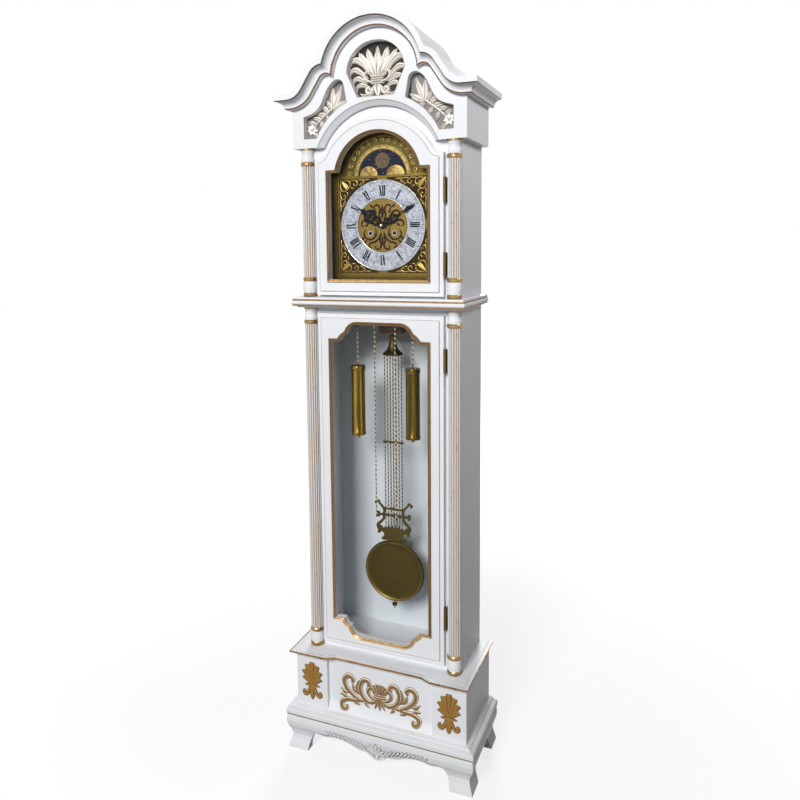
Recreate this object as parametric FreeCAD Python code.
"""White and gilt longcase clock with an arched hood, moon dial, lyre pendulum and two weights.

Millimetres. The clock stands on the floor at z = 0 with its back to the wall, facing -Y. The
origin is the middle of the floor rectangle. Depths are measured forward from the back plane.
"""
import FreeCAD, Part
import math
import os

V = FreeCAD.Vector

# Clearances
CUT_OVERRUN = 5.0
SEAT_GAP = 0.3
RUN_GAP = 0.05

# Heights of the parts of the case, stacked from the floor
FEET_H = 108.0
BASE_MOULD_H = 29.0
BASE_BOX_H = 166.0
LEDGE_T = 15.0
TRUNK_H = 1052.0
WAIST_H = 30.0
HOOD_H = 427.0

# Carcass
CASE_HALF = 239.6
CASE_DEPTH = 203.0
BOARD = 16.0
BACK_T = 6.0
FRAME_T = 16.0

# Base box
BASE_SIDE_OUT = 30.4
BASE_FRONT_OUT = 53.0
BLOCK_W = 103.0
BLOCK_T = 29.0
PANEL_RECESS = 13.0
PANEL_COVE_H = 38.0
FLOOR_T = 12.0

# Feet and base moulding
MOULD_OUT = 28.0
FEET_LIP = 6.0
FOOT_W = 72.0
FOOT_TOE = 6.0
APRON_Z = 60.0
APRON_DROP = 35.0
SIDE_FOOT_W = 58.0
FOOT_STEP_SHARE = 0.14
FOOT_KNEE_SHARE = 0.55
FOOT_SHOULDER_SHARE = 0.8
SIDE_RISE_SHARE = 0.1

# Ledge board
LEDGE_SIDE_OUT = 10.0
LEDGE_OUT = 27.0
LEDGE_RECESS = 15.0
LEDGE_JOG = 31.0
LEDGE_COVE = 14.0
LEDGE_STEP = 12.0

# Doors
DOOR_SIDE = 46.6
DOOR_T = 21.5
DOOR_GAP = 0.5
DOOR_EDGE = 12.0
DOOR_FIELD_T = 4.0
STILE_W = 43.0
FRAME_LAP = 8.0
GLASS_T = 3.0
GLASS_LAP = 8.0
GLASS_GAP = 0.3
BEAD_W = 5.0
BEAD_PROUD = 2.5

# Lower door
LOWER_DOOR_GAP = 22.0
LOWER_DOOR_TOP_GAP = 18.0
LOWER_OPEN_UP = 34.0
LOWER_OPEN_DOWN = 29.0
LOWER_RISE = 50.0
LOWER_FLAT_SHARE = 0.43
LOWER_BREAK_SHARE = 0.67
LOWER_SHOULDER_SHARE = 0.81
LOWER_BREAK_RISE_SHARE = 0.57

# Upper door, with its round head in shares of the door's half width
UPPER_DOOR_GAP = 6.0
UPPER_SHOULDER_DOWN = 43.0
UPPER_ARCH_DOWN_SHARE = 0.3394
UPPER_ARCH_SHARE = 0.899
UPPER_CUSP_SHARE = 0.83
UPPER_OPEN_UP = 44.0
UPPER_OPEN_DOWN = 29.0
UPPER_OPEN_ARCH_DOWN_SHARE = 0.1307
UPPER_OPEN_ARCH_SHARE = 0.824

# Waist moulding
WAIST_OUT = 22.4
WAIST_FRONT_EXTRA = 31.6

# Hinges
HINGE_OUT = 4.5
HINGE_R = 3.5
HINGE_PIN_R = 1.5
HINGE_H = 64.0
HINGE_LEAF = 1.5
HINGE_LEAF_W = 15.0
HINGE_FREE = 0.05
HINGE_GAP = 0.3
HINGE_INSET = 88.0

# Columns
COLUMN_IN = 18.6
COLUMN_PROUD = 7.0
COLUMN_R = 19.0
RING_R = 21.0
NECK_R = 16.5
RING_H = 12.0
DRUM_H = 33.0
CAP_H = 32.0
FLUTES = 16
FLUTE_R = 2.6

# Frieze, with its curves in shares of its half width
FRIEZE_OUT = 19.9
FRIEZE_FACE = 24.0
CLOTH_T = 1.0
FRIEZE_ARCH_DOWN_SHARE = 0.3006
FRIEZE_ARCH_SHARE = 0.7091
FRIEZE_COVE = 13.0
CREST_UP_SHARE = 0.7129
CREST_SHARE = 0.5703
SHOULDER_X_SHARE = 0.5511
SHOULDER_DOWN_SHARE = 0.0385
SHOULDER_SHARE = 0.1734
HOLLOW_X_SHARE = 0.9865
HOLLOW_UP_SHARE = 0.0116
HOLLOW_SHARE = 0.2158
CREST_OPEN_SHARE = 0.3545
CREST_OPEN_BOTTOM_SHARE = 0.2158
CREST_OPEN_FOOT_DOWN_SHARE = 0.1734
CREST_OPEN_FOOT_SHARE = 0.2312
CREST_OPEN_WAIST_SHARE = 0.2659
CREST_OPEN_WAIST_DOWN_SHARE = 0.0925
CREST_OPEN_SIDE_SHARE = 0.3314
CREST_OPEN_SIDE_UP_SHARE = 0.0462
SIDE_OPEN_SHARE = 0.8593
SIDE_OPEN_UP = 26.0
CARVING_T = 16.0
CARVING_GAP = 0.3

# Cornice and roof board
CORNICE_OUT = 39.0
CORNICE_SIDE_OUT = 35.5
CORNICE_DROP = 19.0
CORNICE_STEP = 18.0
CORNICE_FILLET = 3.5
CORNICE_EDGE = 1.0
COVE_STEPS = 5
ROOF_T = 15.0
ROOF_OVER_FRONT = 6.0
ROOF_OVER_SIDE = 3.0

# Dial
DIAL_UP = 204.0
DIAL_HALF = 140.0
DIAL_LOW = 145.0
DIAL_SHOULDER_UP = 144.0
DIAL_ARCH_UP = 138.0
DIAL_ARCH_R = 113.0
DIAL_LAP = 3.0
DIAL_T = 2.0
MASK_T = 4.0
MASK_MARGIN = 8.0
RING_OUTER = 129.0
RING_INNER = 76.0
RING_T = 1.5
DISC_R = 73.5
DISC_T = 0.8
EYELET_X = 37.0
EYELET_DROP = 22.0
EYELET_R = 8.0
EYELET_HOLE_R = 5.5
EYELET_T = 1.6
MOON_UP = 140.0
MOON_WINDOW_R = 72.0
MOON_HUMP_X = 41.0
MOON_HUMP_R = 28.0
MOON_DISC_R = 74.5
MOON_DISC_T = 1.0
MOON_GAP = 0.6
LUNAR_IN = 84.0
LUNAR_OUT = 108.0
LUNAR_T = 1.2
SPANDREL_T = 3.0
SPANDREL_R = 5.0

# Hands
PIPE_R = 4.0
ARBOR_R = 3.0
ARBOR_ROOM = 1.9
HAND_T = 1.5
HOUR_HAND_UP = 5.5
MINUTE_HAND_UP = 10.0
HOUR_HAND_L = 106.0
MINUTE_HAND_L = 113.0
HOUR_ANGLE = 305.0
MINUTE_ANGLE = 60.0
NUT_R = 4.5
NUT_H = 5.0

# Movement
PLATE_HALF = 80.0
PLATE_T = 2.0
PLATE_FRONT_GAP = 14.0
PLATES_APART = 38.0
PLATE_TOP_UP = 86.0
SEAT_DROP = 104.0
PILLAR_R = 4.0
PILLAR_IN = 10.0
DIAL_FOOT_R = 3.0
GREAT_TEETH = 84
CENTRE_PINION = 12
CENTRE_TEETH = 62
TRAIN_PINION = 8
TRAIN_MODULE = 0.8
THIRD_TEETH = 60
THIRD_MODULE = 0.75
ESCAPE_TEETH = 30
ESCAPE_R = 19.0
CANNON_TEETH = 12
MINUTE_WHEEL_TEETH = 36
MINUTE_PINION = 10
HOUR_TEETH = 40
MOTION_DISTANCE = 18.0
WHEEL_T = 2.0
PIVOT_R = 1.5
DRUM_R = 30.0
DRUM_L = 16.0
HUB_R = 9.0
WIND_R = 3.5
WIND_SQUARE = 5.0
WIND_OUT = 2.5
PALLET_CLEAR = 2.2
PALLET_W = 3.0

# Seat board and guide rail
SEAT_T = 20.0
SEAT_FRONT_GAP = 0.5
SEAT_W = 84.5
SEAT_SLOT_HALF = 16.0
SLOT_DEPTH = 18.0
CLEAT_W = 16.0
CLEAT_H = 20.0
RAIL_DOWN = 58.0
RAIL_T = 20.0
RAIL_DEPTH = 40.0
GUIDE_HALF = 35.0
GUIDE_H = 24.0
GUIDE_SLOT_HALF = 27.0

# Pendulum
SWING_IN = 90.0
SPRING_L = 18.0
SPRING_W = 10.0
SPRING_T = 0.3
ROD_W = 6.0
ROD_T = 2.0
CANOPY_DOWN = 90.0
CANOPY_H = 64.0
CANOPY_R = 31.0
CANOPY_TOP_R = 5.5
CANOPY_LIP = 3.0
TWIST_R = 1.8
TWIST_COUNT = 7
TWIST_PITCH = 9.0
BRIDGE_UP = 187.0
BRIDGE_HALF = 34.0
BRIDGE_H = 8.0
PEND_PLATE_T = 4.0
LYRE_UP = 104.0
LYRE_H = 122.0
LYRE_HALF = 58.0
LYRE_BAR = 4.5
BOB_UP = 230.0
BOB_R = 97.0
BOB_T = 24.0
BOB_RIM = 6.0
RATING_ROD_R = 1.5
RATING_TIP_DOWN = 121.0
RATING_NUT_DOWN = 110.0
RATING_NUT_R = 8.0
RATING_NUT_H = 6.0

# Weights and chains
HANG_IN = 27.0
WEIGHT_X = 86.0
WEIGHT_DOWN = 382.0
WEIGHT_L = 203.0
WEIGHT_R = 20.5
WEIGHT_RIM_R = 21.5
WEIGHT_RIM_H = 9.0
WEIGHT_WALL = 1.0
CHAIN_X = 32.0
CHAIN_END_DOWN = 625.0
LINK_PITCH = 6.0
LINK_WIRE = 1.3
LINK_INSIDE = 2.0
LINK_GAP = 0.15
HOOK_DROP = 6.0

# Gong and hammer
GONG_X = 121.0
GONG_DOWN = 4.0
GONG_R = 50.0
GONG_TURNS = 3
GONG_PITCH = 6.0
GONG_WIRE_R = 1.5
GONG_IN = 53.0
GONG_BLOCK_W = 30.0
GONG_BLOCK_H = 44.0
HAMMER_X = 60.0
HAMMER_UP = 56.0
HAMMER_R = 6.0
HAMMER_L = 14.0
HAMMER_GAP = 2.5
HAMMER_ARM = 4.0

# Widths and depths worked out from the sizes above
BASE_HALF = CASE_HALF + BASE_SIDE_OUT
BASE_DEPTH = CASE_DEPTH + BASE_FRONT_OUT
DEPTH = BASE_DEPTH + MOULD_OUT
BACK_Y = DEPTH / 2
LEDGE_HALF = BASE_HALF + LEDGE_SIDE_OUT
INSIDE_HALF = CASE_HALF - BOARD
DOOR_HALF = CASE_HALF - DOOR_SIDE
OPENING_HALF = DOOR_HALF - STILE_W
DOOR_BACK = CASE_DEPTH + DOOR_GAP
DOOR_FRONT = DOOR_BACK + DOOR_T
COLUMN_X = CASE_HALF - COLUMN_IN
COLUMN_DEPTH = CASE_DEPTH + COLUMN_PROUD
FRIEZE_HALF = CASE_HALF + FRIEZE_OUT
FRIEZE_DEPTH = CASE_DEPTH + FRIEZE_FACE
DIAL_FRONT = CASE_DEPTH - FRAME_T - MASK_T
DIAL_BACK = DIAL_FRONT - DIAL_T
FRONT_PLATE = DIAL_BACK - PLATE_FRONT_GAP
BACK_PLATE = FRONT_PLATE - PLATE_T - PLATES_APART
SEAT_FRONT = DIAL_BACK - SEAT_FRONT_GAP
SEAT_BACK = SEAT_FRONT - SEAT_W
SWING_DEPTH = CASE_DEPTH - SWING_IN
HANG_DEPTH = CASE_DEPTH - HANG_IN
GONG_DEPTH = SWING_DEPTH - GONG_IN

# Levels worked out from the sizes above
BOX_Z = FEET_H + BASE_MOULD_H
LEDGE_Z = BOX_Z + BASE_BOX_H
CASE_Z = LEDGE_Z + LEDGE_T
WAIST_Z = CASE_Z + TRUNK_H
WAIST_TOP = WAIST_Z + WAIST_H
FRIEZE_Z = WAIST_TOP + HOOD_H
LOWER_DOOR_Z = CASE_Z + LOWER_DOOR_GAP
LOWER_DOOR_H = WAIST_Z - LOWER_DOOR_TOP_GAP - LOWER_DOOR_Z
LOWER_OPEN_Z = LOWER_DOOR_Z + LOWER_OPEN_UP
LOWER_OPEN_H = LOWER_DOOR_H - LOWER_OPEN_UP - LOWER_OPEN_DOWN
UPPER_DOOR_Z = WAIST_TOP + UPPER_DOOR_GAP
UPPER_OPEN_Z = UPPER_DOOR_Z + UPPER_OPEN_UP
UPPER_SHOULDER_Z = FRIEZE_Z - UPPER_SHOULDER_DOWN
UPPER_ARCH_Z = UPPER_SHOULDER_Z - UPPER_ARCH_DOWN_SHARE * DOOR_HALF
UPPER_ARCH_R = UPPER_ARCH_SHARE * DOOR_HALF
UPPER_OPEN_SHOULDER_Z = UPPER_SHOULDER_Z - UPPER_OPEN_DOWN
UPPER_OPEN_ARCH_Z = UPPER_OPEN_SHOULDER_Z - UPPER_OPEN_ARCH_DOWN_SHARE * OPENING_HALF
UPPER_OPEN_ARCH_R = UPPER_OPEN_ARCH_SHARE * OPENING_HALF
FRIEZE_ARCH_Z = FRIEZE_Z - FRIEZE_ARCH_DOWN_SHARE * FRIEZE_HALF
FRIEZE_ARCH_R = FRIEZE_ARCH_SHARE * FRIEZE_HALF
CREST_Z = FRIEZE_Z + CREST_UP_SHARE * FRIEZE_HALF
CREST_R = CREST_SHARE * FRIEZE_HALF
SHOULDER_X = SHOULDER_X_SHARE * FRIEZE_HALF
SHOULDER_Z = CREST_Z - SHOULDER_DOWN_SHARE * FRIEZE_HALF
SHOULDER_R = SHOULDER_SHARE * FRIEZE_HALF
HOLLOW_X = HOLLOW_X_SHARE * FRIEZE_HALF
HOLLOW_Z = CREST_Z + HOLLOW_UP_SHARE * FRIEZE_HALF
HOLLOW_R = HOLLOW_SHARE * FRIEZE_HALF
CORNICE_Z = HOLLOW_Z - HOLLOW_R
CREST_OPEN_R = CREST_OPEN_SHARE * FRIEZE_HALF
CREST_OPEN_BOTTOM_Z = CREST_Z - CREST_OPEN_BOTTOM_SHARE * FRIEZE_HALF
CREST_OPEN_FOOT_Z = CREST_Z - CREST_OPEN_FOOT_DOWN_SHARE * FRIEZE_HALF
CREST_OPEN_FOOT_X = CREST_OPEN_FOOT_SHARE * FRIEZE_HALF
CREST_OPEN_WAIST_X = CREST_OPEN_WAIST_SHARE * FRIEZE_HALF
CREST_OPEN_WAIST_Z = CREST_Z - CREST_OPEN_WAIST_DOWN_SHARE * FRIEZE_HALF
CREST_OPEN_SIDE_X = CREST_OPEN_SIDE_SHARE * FRIEZE_HALF
CREST_OPEN_SIDE_Z = CREST_Z + CREST_OPEN_SIDE_UP_SHARE * FRIEZE_HALF
SIDE_OPEN_HALF = SIDE_OPEN_SHARE * FRIEZE_HALF
DIAL_CENTRE_Z = WAIST_TOP + DIAL_UP
DIAL_Z = DIAL_CENTRE_Z - DIAL_LOW
DIAL_SHOULDER_Z = DIAL_CENTRE_Z + DIAL_SHOULDER_UP
DIAL_ARCH_Z = DIAL_CENTRE_Z + DIAL_ARCH_UP
MOON_Z = DIAL_CENTRE_Z + MOON_UP
EYELET_Z = DIAL_CENTRE_Z - EYELET_DROP
SEAT_TOP = DIAL_CENTRE_Z - SEAT_DROP
GONG_Z = DIAL_CENTRE_Z - GONG_DOWN
HAMMER_Z = DIAL_CENTRE_Z + HAMMER_UP
RAIL_Z = WAIST_Z - RAIL_DOWN
CANOPY_Z = RAIL_Z - CANOPY_DOWN
BOB_Z = CASE_Z + BOB_UP
LYRE_BOTTOM_Z = BOB_Z + LYRE_UP
LYRE_TOP_Z = LYRE_BOTTOM_Z + LYRE_H
BRIDGE_Z = LYRE_TOP_Z + BRIDGE_UP
RATING_TIP_Z = BOB_Z - RATING_TIP_DOWN
RATING_NUT_Z = BOB_Z - RATING_NUT_DOWN
WEIGHT_Z = WAIST_Z - WEIGHT_DOWN
CHAIN_END_Z = WAIST_Z - CHAIN_END_DOWN


def at(depth):
    """The y of a plane that lies this far in front of the back of the case."""
    return BACK_Y - depth


def box(x0, x1, depth0, depth1, z0, z1):
    """A block between two x values, two depths and two heights."""
    return Part.makeBox(x1 - x0, depth1 - depth0, z1 - z0, V(x0, at(depth1), z0))


def rod(radius, x, z, depth0, depth1):
    """A round bar that runs from back to front."""
    return Part.makeCylinder(radius, depth1 - depth0, V(x, at(depth1), z), V(0, 1, 0))


def post(radius, x, depth, z0, z1):
    """A round bar that stands upright."""
    return Part.makeCylinder(radius, z1 - z0, V(x, at(depth), z0))


def turned(profile, x, depth):
    """A solid of revolution about an upright axis, from (radius, z) points of its outline."""
    points = [V(x + r, at(depth), z) for r, z in profile]
    axis_low = V(x, at(depth), profile[0][1])
    axis_high = V(x, at(depth), profile[-1][1])
    wire = Part.makePolygon([axis_low] + points + [axis_high, axis_low])
    return Part.Face(wire).revolve(axis_low, V(0, 0, 1), 360)


def line(*points):
    """A straight run of an outline."""
    return ("line", list(points))


def arc(*points):
    """A round run of an outline, through three points."""
    return ("arc", list(points))


def curve(*points):
    """A smooth run of an outline, through all of its points."""
    return ("curve", list(points))


def edge(run, depth):
    """The edge that a run draws on the plane at a depth."""
    kind, points = run
    places = [V(x, at(depth), z) for x, z in points]
    if kind == "line":
        return Part.makeLine(places[0], places[1])
    if kind == "arc":
        return Part.Arc(places[0], places[1], places[2]).toShape()
    spline = Part.BSplineCurve()
    spline.interpolate(places)
    return spline.toShape()


def scaled(shares, across, up, x=0.0, z=0.0):
    """Places given as shares of a width and a height, counted from one place."""
    return [(x + along * across, z + rise * up) for along, rise in shares]


def arcs(points):
    """A row of arcs, each through three of the points, the last of one being the first of the next."""
    return [arc(*points[i:i + 3]) for i in range(0, len(points) - 1, 2)]


def mirrored(runs):
    """A right-hand outline and its left-hand twin, as one closed outline."""
    twin = [(kind, [(-x, z) for x, z in reversed(points)]) for kind, points in reversed(runs)]
    return runs + twin


def flipped(runs):
    """The same outline on the left-hand side."""
    return [(kind, [(-x, z) for x, z in points]) for kind, points in runs]


def outline_wire(runs, depth):
    """The closed wire of an outline at a depth."""
    return Part.Wire([edge(run, depth) for run in runs])


def slab(runs, depth0, depth1):
    """A flat piece with this outline, between two depths."""
    face = Part.Face(outline_wire(runs, depth1))
    return face.extrude(V(0, depth1 - depth0, 0))


def polygon(points):
    """The runs of a closed polygon."""
    ring = list(points) + [points[0]]
    return [line(ring[i], ring[i + 1]) for i in range(len(points))]


def ribbon(points, widths, depth0, depth1):
    """A flat scroll that follows a curve and swells and tapers with its widths."""
    spline = Part.BSplineCurve()
    spline.interpolate([V(x, 0, z) for x, z in points])
    first, last = spline.FirstParameter, spline.LastParameter
    left, right = [], []
    for i, width in enumerate(widths):
        t = first + (last - first) * i / (len(widths) - 1)
        place, tangent = spline.value(t), spline.tangent(t)[0]
        across = V(-tangent.z, 0, tangent.x) * (width / 2)
        left.append((place.x + across.x, place.z + across.z))
        right.append((place.x - across.x, place.z - across.z))
    runs = [curve(*left), line(left[-1], right[-1]), curve(*reversed(right)), line(right[0], left[0])]
    return slab(runs, depth0, depth1)


def leaf(x, z, length, width, angle, depth0, depth1):
    """A pointed leaf that grows from a place at an angle from upright, clockwise."""
    turn = math.radians(angle)
    along, across = (math.sin(turn), math.cos(turn)), (math.cos(turn), -math.sin(turn))

    def place(far, side):
        return (x + along[0] * length * far + across[0] * width * side,
                z + along[1] * length * far + across[1] * width * side)

    runs = [arc(place(0, 0), place(0.55, 0.5), place(1, 0)), arc(place(1, 0), place(0.55, -0.5), place(0, 0))]
    return slab(runs, depth0, depth1)


def joined(pieces):
    """One solid from pieces that overlap or touch."""
    whole = pieces[0].multiFuse(pieces[1:]) if len(pieces) > 1 else pieces[0]
    return whole.removeSplitter()


def mirror_x(shape):
    """The same shape on the other side of the middle plane."""
    return shape.mirror(V(0, 0, 0), V(1, 0, 0))


def inset(points, distance):
    """A polygon whose sides have all moved inwards by a distance, for corners in clockwise order."""
    count = len(points)
    moved = []
    for i in range(count):
        (ax, ay), (bx, by), (cx, cy) = points[i - 1], points[i], points[(i + 1) % count]
        u, w = math.hypot(bx - ax, by - ay), math.hypot(cx - bx, cy - by)
        n1, n2 = ((by - ay) / u, (ax - bx) / u), ((cy - by) / w, (bx - cx) / w)
        scale = distance / (1 + n1[0] * n2[0] + n1[1] * n2[1])
        moved.append((bx + (n1[0] + n2[0]) * scale, by + (n1[1] + n2[1]) * scale))
    return moved


def moulded_plate(plan, section, z):
    """A board whose edge follows a section of (inset, height) steps, cut flush at the back."""
    wires = []
    for step, height in section:
        points = [V(x, at(depth), z + height) for x, depth in inset(plan, step)]
        wires.append(Part.makePolygon(points + [points[0]]))
    board = Part.makeLoft(wires, True, True)
    reach = max(abs(x) for x, depth in plan) + CUT_OVERRUN
    front = max(depth for x, depth in plan) + CUT_OVERRUN
    low, high = section[0][1], section[-1][1]
    return board.common(box(-reach, reach, 0, front, z + low, z + high))


def plan_box(half, depth, behind):
    """A rectangle in plan, clockwise seen from above, that runs past the back."""
    return [(-half, depth), (half, depth), (half, -behind), (-half, -behind)]


def three_sided(board, half, depth, z0, z1):
    """The front, left and right lengths of a moulding round a case."""
    reach, far = half + DEPTH, 2 * DEPTH
    front = board.common(box(-reach, reach, depth, far, z0, z1))
    right = board.common(box(half, reach, 0, depth, z0, z1))
    left = board.common(box(-reach, -half, 0, depth, z0, z1))
    return [front, left, right]


def bracket_feet():
    """Ogee bracket feet: the front board with its scalloped apron, and two side boards."""
    section_shares = [(0.14, 0), (0.22, 0.08), (0.46, 0.25), (0.54, 0.38), (0.39, 0.52), (0.14, 0.66),
                      (0.04, 0.8), (0.07, 0.92), (0.14, 1)]
    apron_shares = [(0, -1), (0.05, -0.97), (0.08, -0.75), (0.13, -0.66), (0.17, -0.57), (0.29, -0.46),
                    (0.41, -0.14), (0.55, 0.12), (0.7, 0.12), (0.77, 0), (0.84, -0.06), (0.9, 0.06),
                    (1, -0.03)]
    plan = plan_box(BASE_HALF + MOULD_OUT, DEPTH, DEPTH)
    plate = moulded_plate(plan, scaled(section_shares, MOULD_OUT, FEET_H), 0)
    inner_half, inner_depth = BASE_HALF - FEET_LIP, BASE_DEPTH - FEET_LIP
    toe_x = BASE_HALF + MOULD_OUT - FOOT_W
    points = scaled(apron_shares, toe_x - 3 * FOOT_TOE, APRON_DROP, z=APRON_Z)
    step_z, knee_z = FOOT_STEP_SHARE * APRON_Z, FOOT_KNEE_SHARE * APRON_Z
    runs = arcs(points) + [
        arc(points[-1], (toe_x - FOOT_TOE, knee_z), (toe_x, step_z)),
        line((toe_x, step_z), (toe_x, -CUT_OVERRUN)),
        line((toe_x, -CUT_OVERRUN), (0, -CUT_OVERRUN)),
    ]
    gap = slab(mirrored(runs), inner_depth - CUT_OVERRUN, DEPTH + CUT_OVERRUN)
    front, left, right = three_sided(plate, inner_half, inner_depth, 0, FEET_H)
    front = front.cut(gap)
    back_toe, front_toe = SIDE_FOOT_W, DEPTH - FOOT_W
    middle = (back_toe + front_toe) / 2
    shoulder_z, crown_z = FOOT_SHOULDER_SHARE * APRON_Z, APRON_Z + SIDE_RISE_SHARE * APRON_DROP
    side = [V(0, at(d), h) for d, h in [
        (back_toe, -CUT_OVERRUN), (back_toe, step_z), (back_toe + 2 * FOOT_TOE, shoulder_z),
        (back_toe + 4 * FOOT_TOE, APRON_Z), (middle, crown_z), (front_toe - 4 * FOOT_TOE, APRON_Z),
        (front_toe - 2 * FOOT_TOE, shoulder_z), (front_toe, step_z), (front_toe, -CUT_OVERRUN)]]
    side_gap = Part.Face(Part.makePolygon(side + [side[0]])).extrude(V(4 * DEPTH, 0, 0))
    side_gap.translate(V(-2 * DEPTH, 0, 0))
    return [front, left.cut(side_gap), right.cut(side_gap)]


def base_moulding():
    """The stepped moulding between the feet and the base box, mitred at the front corners."""
    section_shares = [(0.07, 0), (0.07, 0.14), (0, 0.17), (0, 0.52), (0.05, 0.66), (0.21, 0.72), (0.5, 0.78),
                      (0.54, 0.9), (1, 1)]
    plan = plan_box(BASE_HALF + MOULD_OUT, DEPTH, DEPTH)
    plate = moulded_plate(plan, scaled(section_shares, MOULD_OUT, BASE_MOULD_H), FEET_H)
    return three_sided(plate, BASE_HALF, BASE_DEPTH, FEET_H, BOX_Z)


def base_boards():
    """Two side boards, the floor and the back board of the base box."""
    side_front = BASE_DEPTH - BLOCK_T
    right = box(BASE_HALF - BOARD, BASE_HALF, 0, side_front, FEET_H, LEDGE_Z)
    inner = BASE_HALF - BOARD
    floor = box(-inner, inner, BACK_T, side_front, FEET_H, FEET_H + FLOOR_T)
    back = box(-inner, inner, 0, BACK_T, FEET_H, LEDGE_Z)
    return [right, mirror_x(right), floor, back]


def base_panel():
    """The recessed front panel, with the large cove at its foot."""
    half = BASE_HALF - BLOCK_W
    face, back = BASE_DEPTH - PANEL_RECESS, BASE_DEPTH - BLOCK_T
    low = V(0, at(BASE_DEPTH), BOX_Z)
    cove_top = V(0, at(face), BOX_Z + PANEL_COVE_H)
    cove_mid = V(0, at(face + 0.3 * PANEL_RECESS), BOX_Z + 0.3 * PANEL_COVE_H)
    edges = [
        Part.makeLine(V(0, at(back), FEET_H), V(0, at(BASE_DEPTH), FEET_H)),
        Part.makeLine(V(0, at(BASE_DEPTH), FEET_H), low),
        Part.Arc(low, cove_mid, cove_top).toShape(),
        Part.makeLine(cove_top, V(0, at(face), LEDGE_Z)),
        Part.makeLine(V(0, at(face), LEDGE_Z), V(0, at(back), LEDGE_Z)),
        Part.makeLine(V(0, at(back), LEDGE_Z), V(0, at(back), FEET_H)),
    ]
    panel = Part.Face(Part.Wire(edges)).extrude(V(half * 2, 0, 0))
    panel.translate(V(-half, 0, 0))
    return [panel]


def corner_blocks():
    """The two blocks at the front corners of the base box."""
    right = box(BASE_HALF - BLOCK_W, BASE_HALF, BASE_DEPTH - BLOCK_T, BASE_DEPTH, FEET_H, LEDGE_Z)
    return [right, mirror_x(right)]


def ledge_board():
    """The board on top of the base box, with a recessed middle and a cove edge."""
    front = BASE_DEPTH + LEDGE_OUT
    turn = BASE_HALF - BLOCK_W
    plan = [(-LEDGE_HALF, front), (-turn, front), (-turn + LEDGE_JOG, front - LEDGE_RECESS),
            (turn - LEDGE_JOG, front - LEDGE_RECESS), (turn, front), (LEDGE_HALF, front),
            (LEDGE_HALF, -DEPTH), (-LEDGE_HALF, -DEPTH)]
    cove_shares = [(1, 0), (0.93, 0.2), (0.71, 0.45), (0.36, 0.62), (0.07, 0.7), (0, 0.76), (0, 0.88)]
    step_shares = [(0.97, 0.93), (1, 1)]
    section = scaled(cove_shares, LEDGE_COVE, LEDGE_T) + scaled(step_shares, LEDGE_STEP, LEDGE_T)
    return [moulded_plate(plan, section, LEDGE_Z)]


def waist_moulding():
    """The torus and hollow between the trunk and the hood."""
    section_shares = [(0.67, 0), (0.6, 0.1), (0.13, 0.17), (0.13, 0.3), (0.02, 0.38), (0, 0.48), (0.02, 0.58),
                      (0.13, 0.66), (0.16, 0.84), (0.22, 1)]
    plan = plan_box(CASE_HALF + WAIST_OUT, CASE_DEPTH + WAIST_FRONT_EXTRA + WAIST_OUT, DEPTH)
    plate = moulded_plate(plan, scaled(section_shares, WAIST_OUT, WAIST_H), WAIST_Z)
    return three_sided(plate, CASE_HALF, CASE_DEPTH, WAIST_Z, WAIST_TOP)


def crest_half(outset, end_x):
    """The right half of the hood's top line, moved outwards by a distance."""
    arch, shoulder, hollow = CREST_R + outset, SHOULDER_R + outset, HOLLOW_R - outset
    apart = math.hypot(SHOULDER_X, SHOULDER_Z - CREST_Z)
    ux, uz = SHOULDER_X / apart, (SHOULDER_Z - CREST_Z) / apart
    along = (arch ** 2 - shoulder ** 2 + apart ** 2) / (2 * apart)
    off = math.sqrt(arch ** 2 - along ** 2)
    valley = (ux * along - uz * off, CREST_Z + uz * along + ux * off)
    tilt = math.asin((SHOULDER_R + HOLLOW_R) / math.hypot(HOLLOW_X - SHOULDER_X, HOLLOW_Z - SHOULDER_Z))
    lean = math.atan2(HOLLOW_Z - SHOULDER_Z, HOLLOW_X - SHOULDER_X) - tilt + math.pi / 2
    nx, nz = math.cos(lean), math.sin(lean)
    fall = (SHOULDER_X + shoulder * nx, SHOULDER_Z + shoulder * nz)
    foot = (HOLLOW_X - hollow * nx, HOLLOW_Z - hollow * nz)
    half_turn = math.atan2(valley[0], valley[1] - CREST_Z) / 2
    arch_mid = (arch * math.sin(half_turn), CREST_Z + arch * math.cos(half_turn))
    start = math.atan2(valley[1] - SHOULDER_Z, valley[0] - SHOULDER_X)
    mid = (start + lean) / 2
    shoulder_mid = (SHOULDER_X + shoulder * math.cos(mid), SHOULDER_Z + shoulder * math.sin(mid))
    low = (lean + math.pi + 1.5 * math.pi) / 2
    hollow_mid = (HOLLOW_X + hollow * math.cos(low), HOLLOW_Z + hollow * math.sin(low))
    level = HOLLOW_Z - hollow
    return [arc((0, CREST_Z + arch), arch_mid, valley), arc(valley, shoulder_mid, fall), line(fall, foot),
            arc(foot, hollow_mid, (HOLLOW_X, level)), line((HOLLOW_X, level), (end_x, level))]


def under_crest(outset, end_x, bottom):
    """A closed outline: the hood's top line above, a straight line below."""
    half = crest_half(outset, end_x)
    level = half[-1][1][1][1]
    half = half + [line((end_x, level), (end_x, bottom)), line((end_x, bottom), (0, bottom))]
    return mirrored(half)


def clipped_crest(half_width, bottom):
    """The hood's top line, cut off at a half width, closed at the bottom."""
    wide = slab(under_crest(0, HOLLOW_X + HOLLOW_R, bottom), 0, DEPTH)
    return wide.common(box(-half_width, half_width, 0, DEPTH, bottom, CREST_Z + CREST_R + CUT_OVERRUN))


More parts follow.
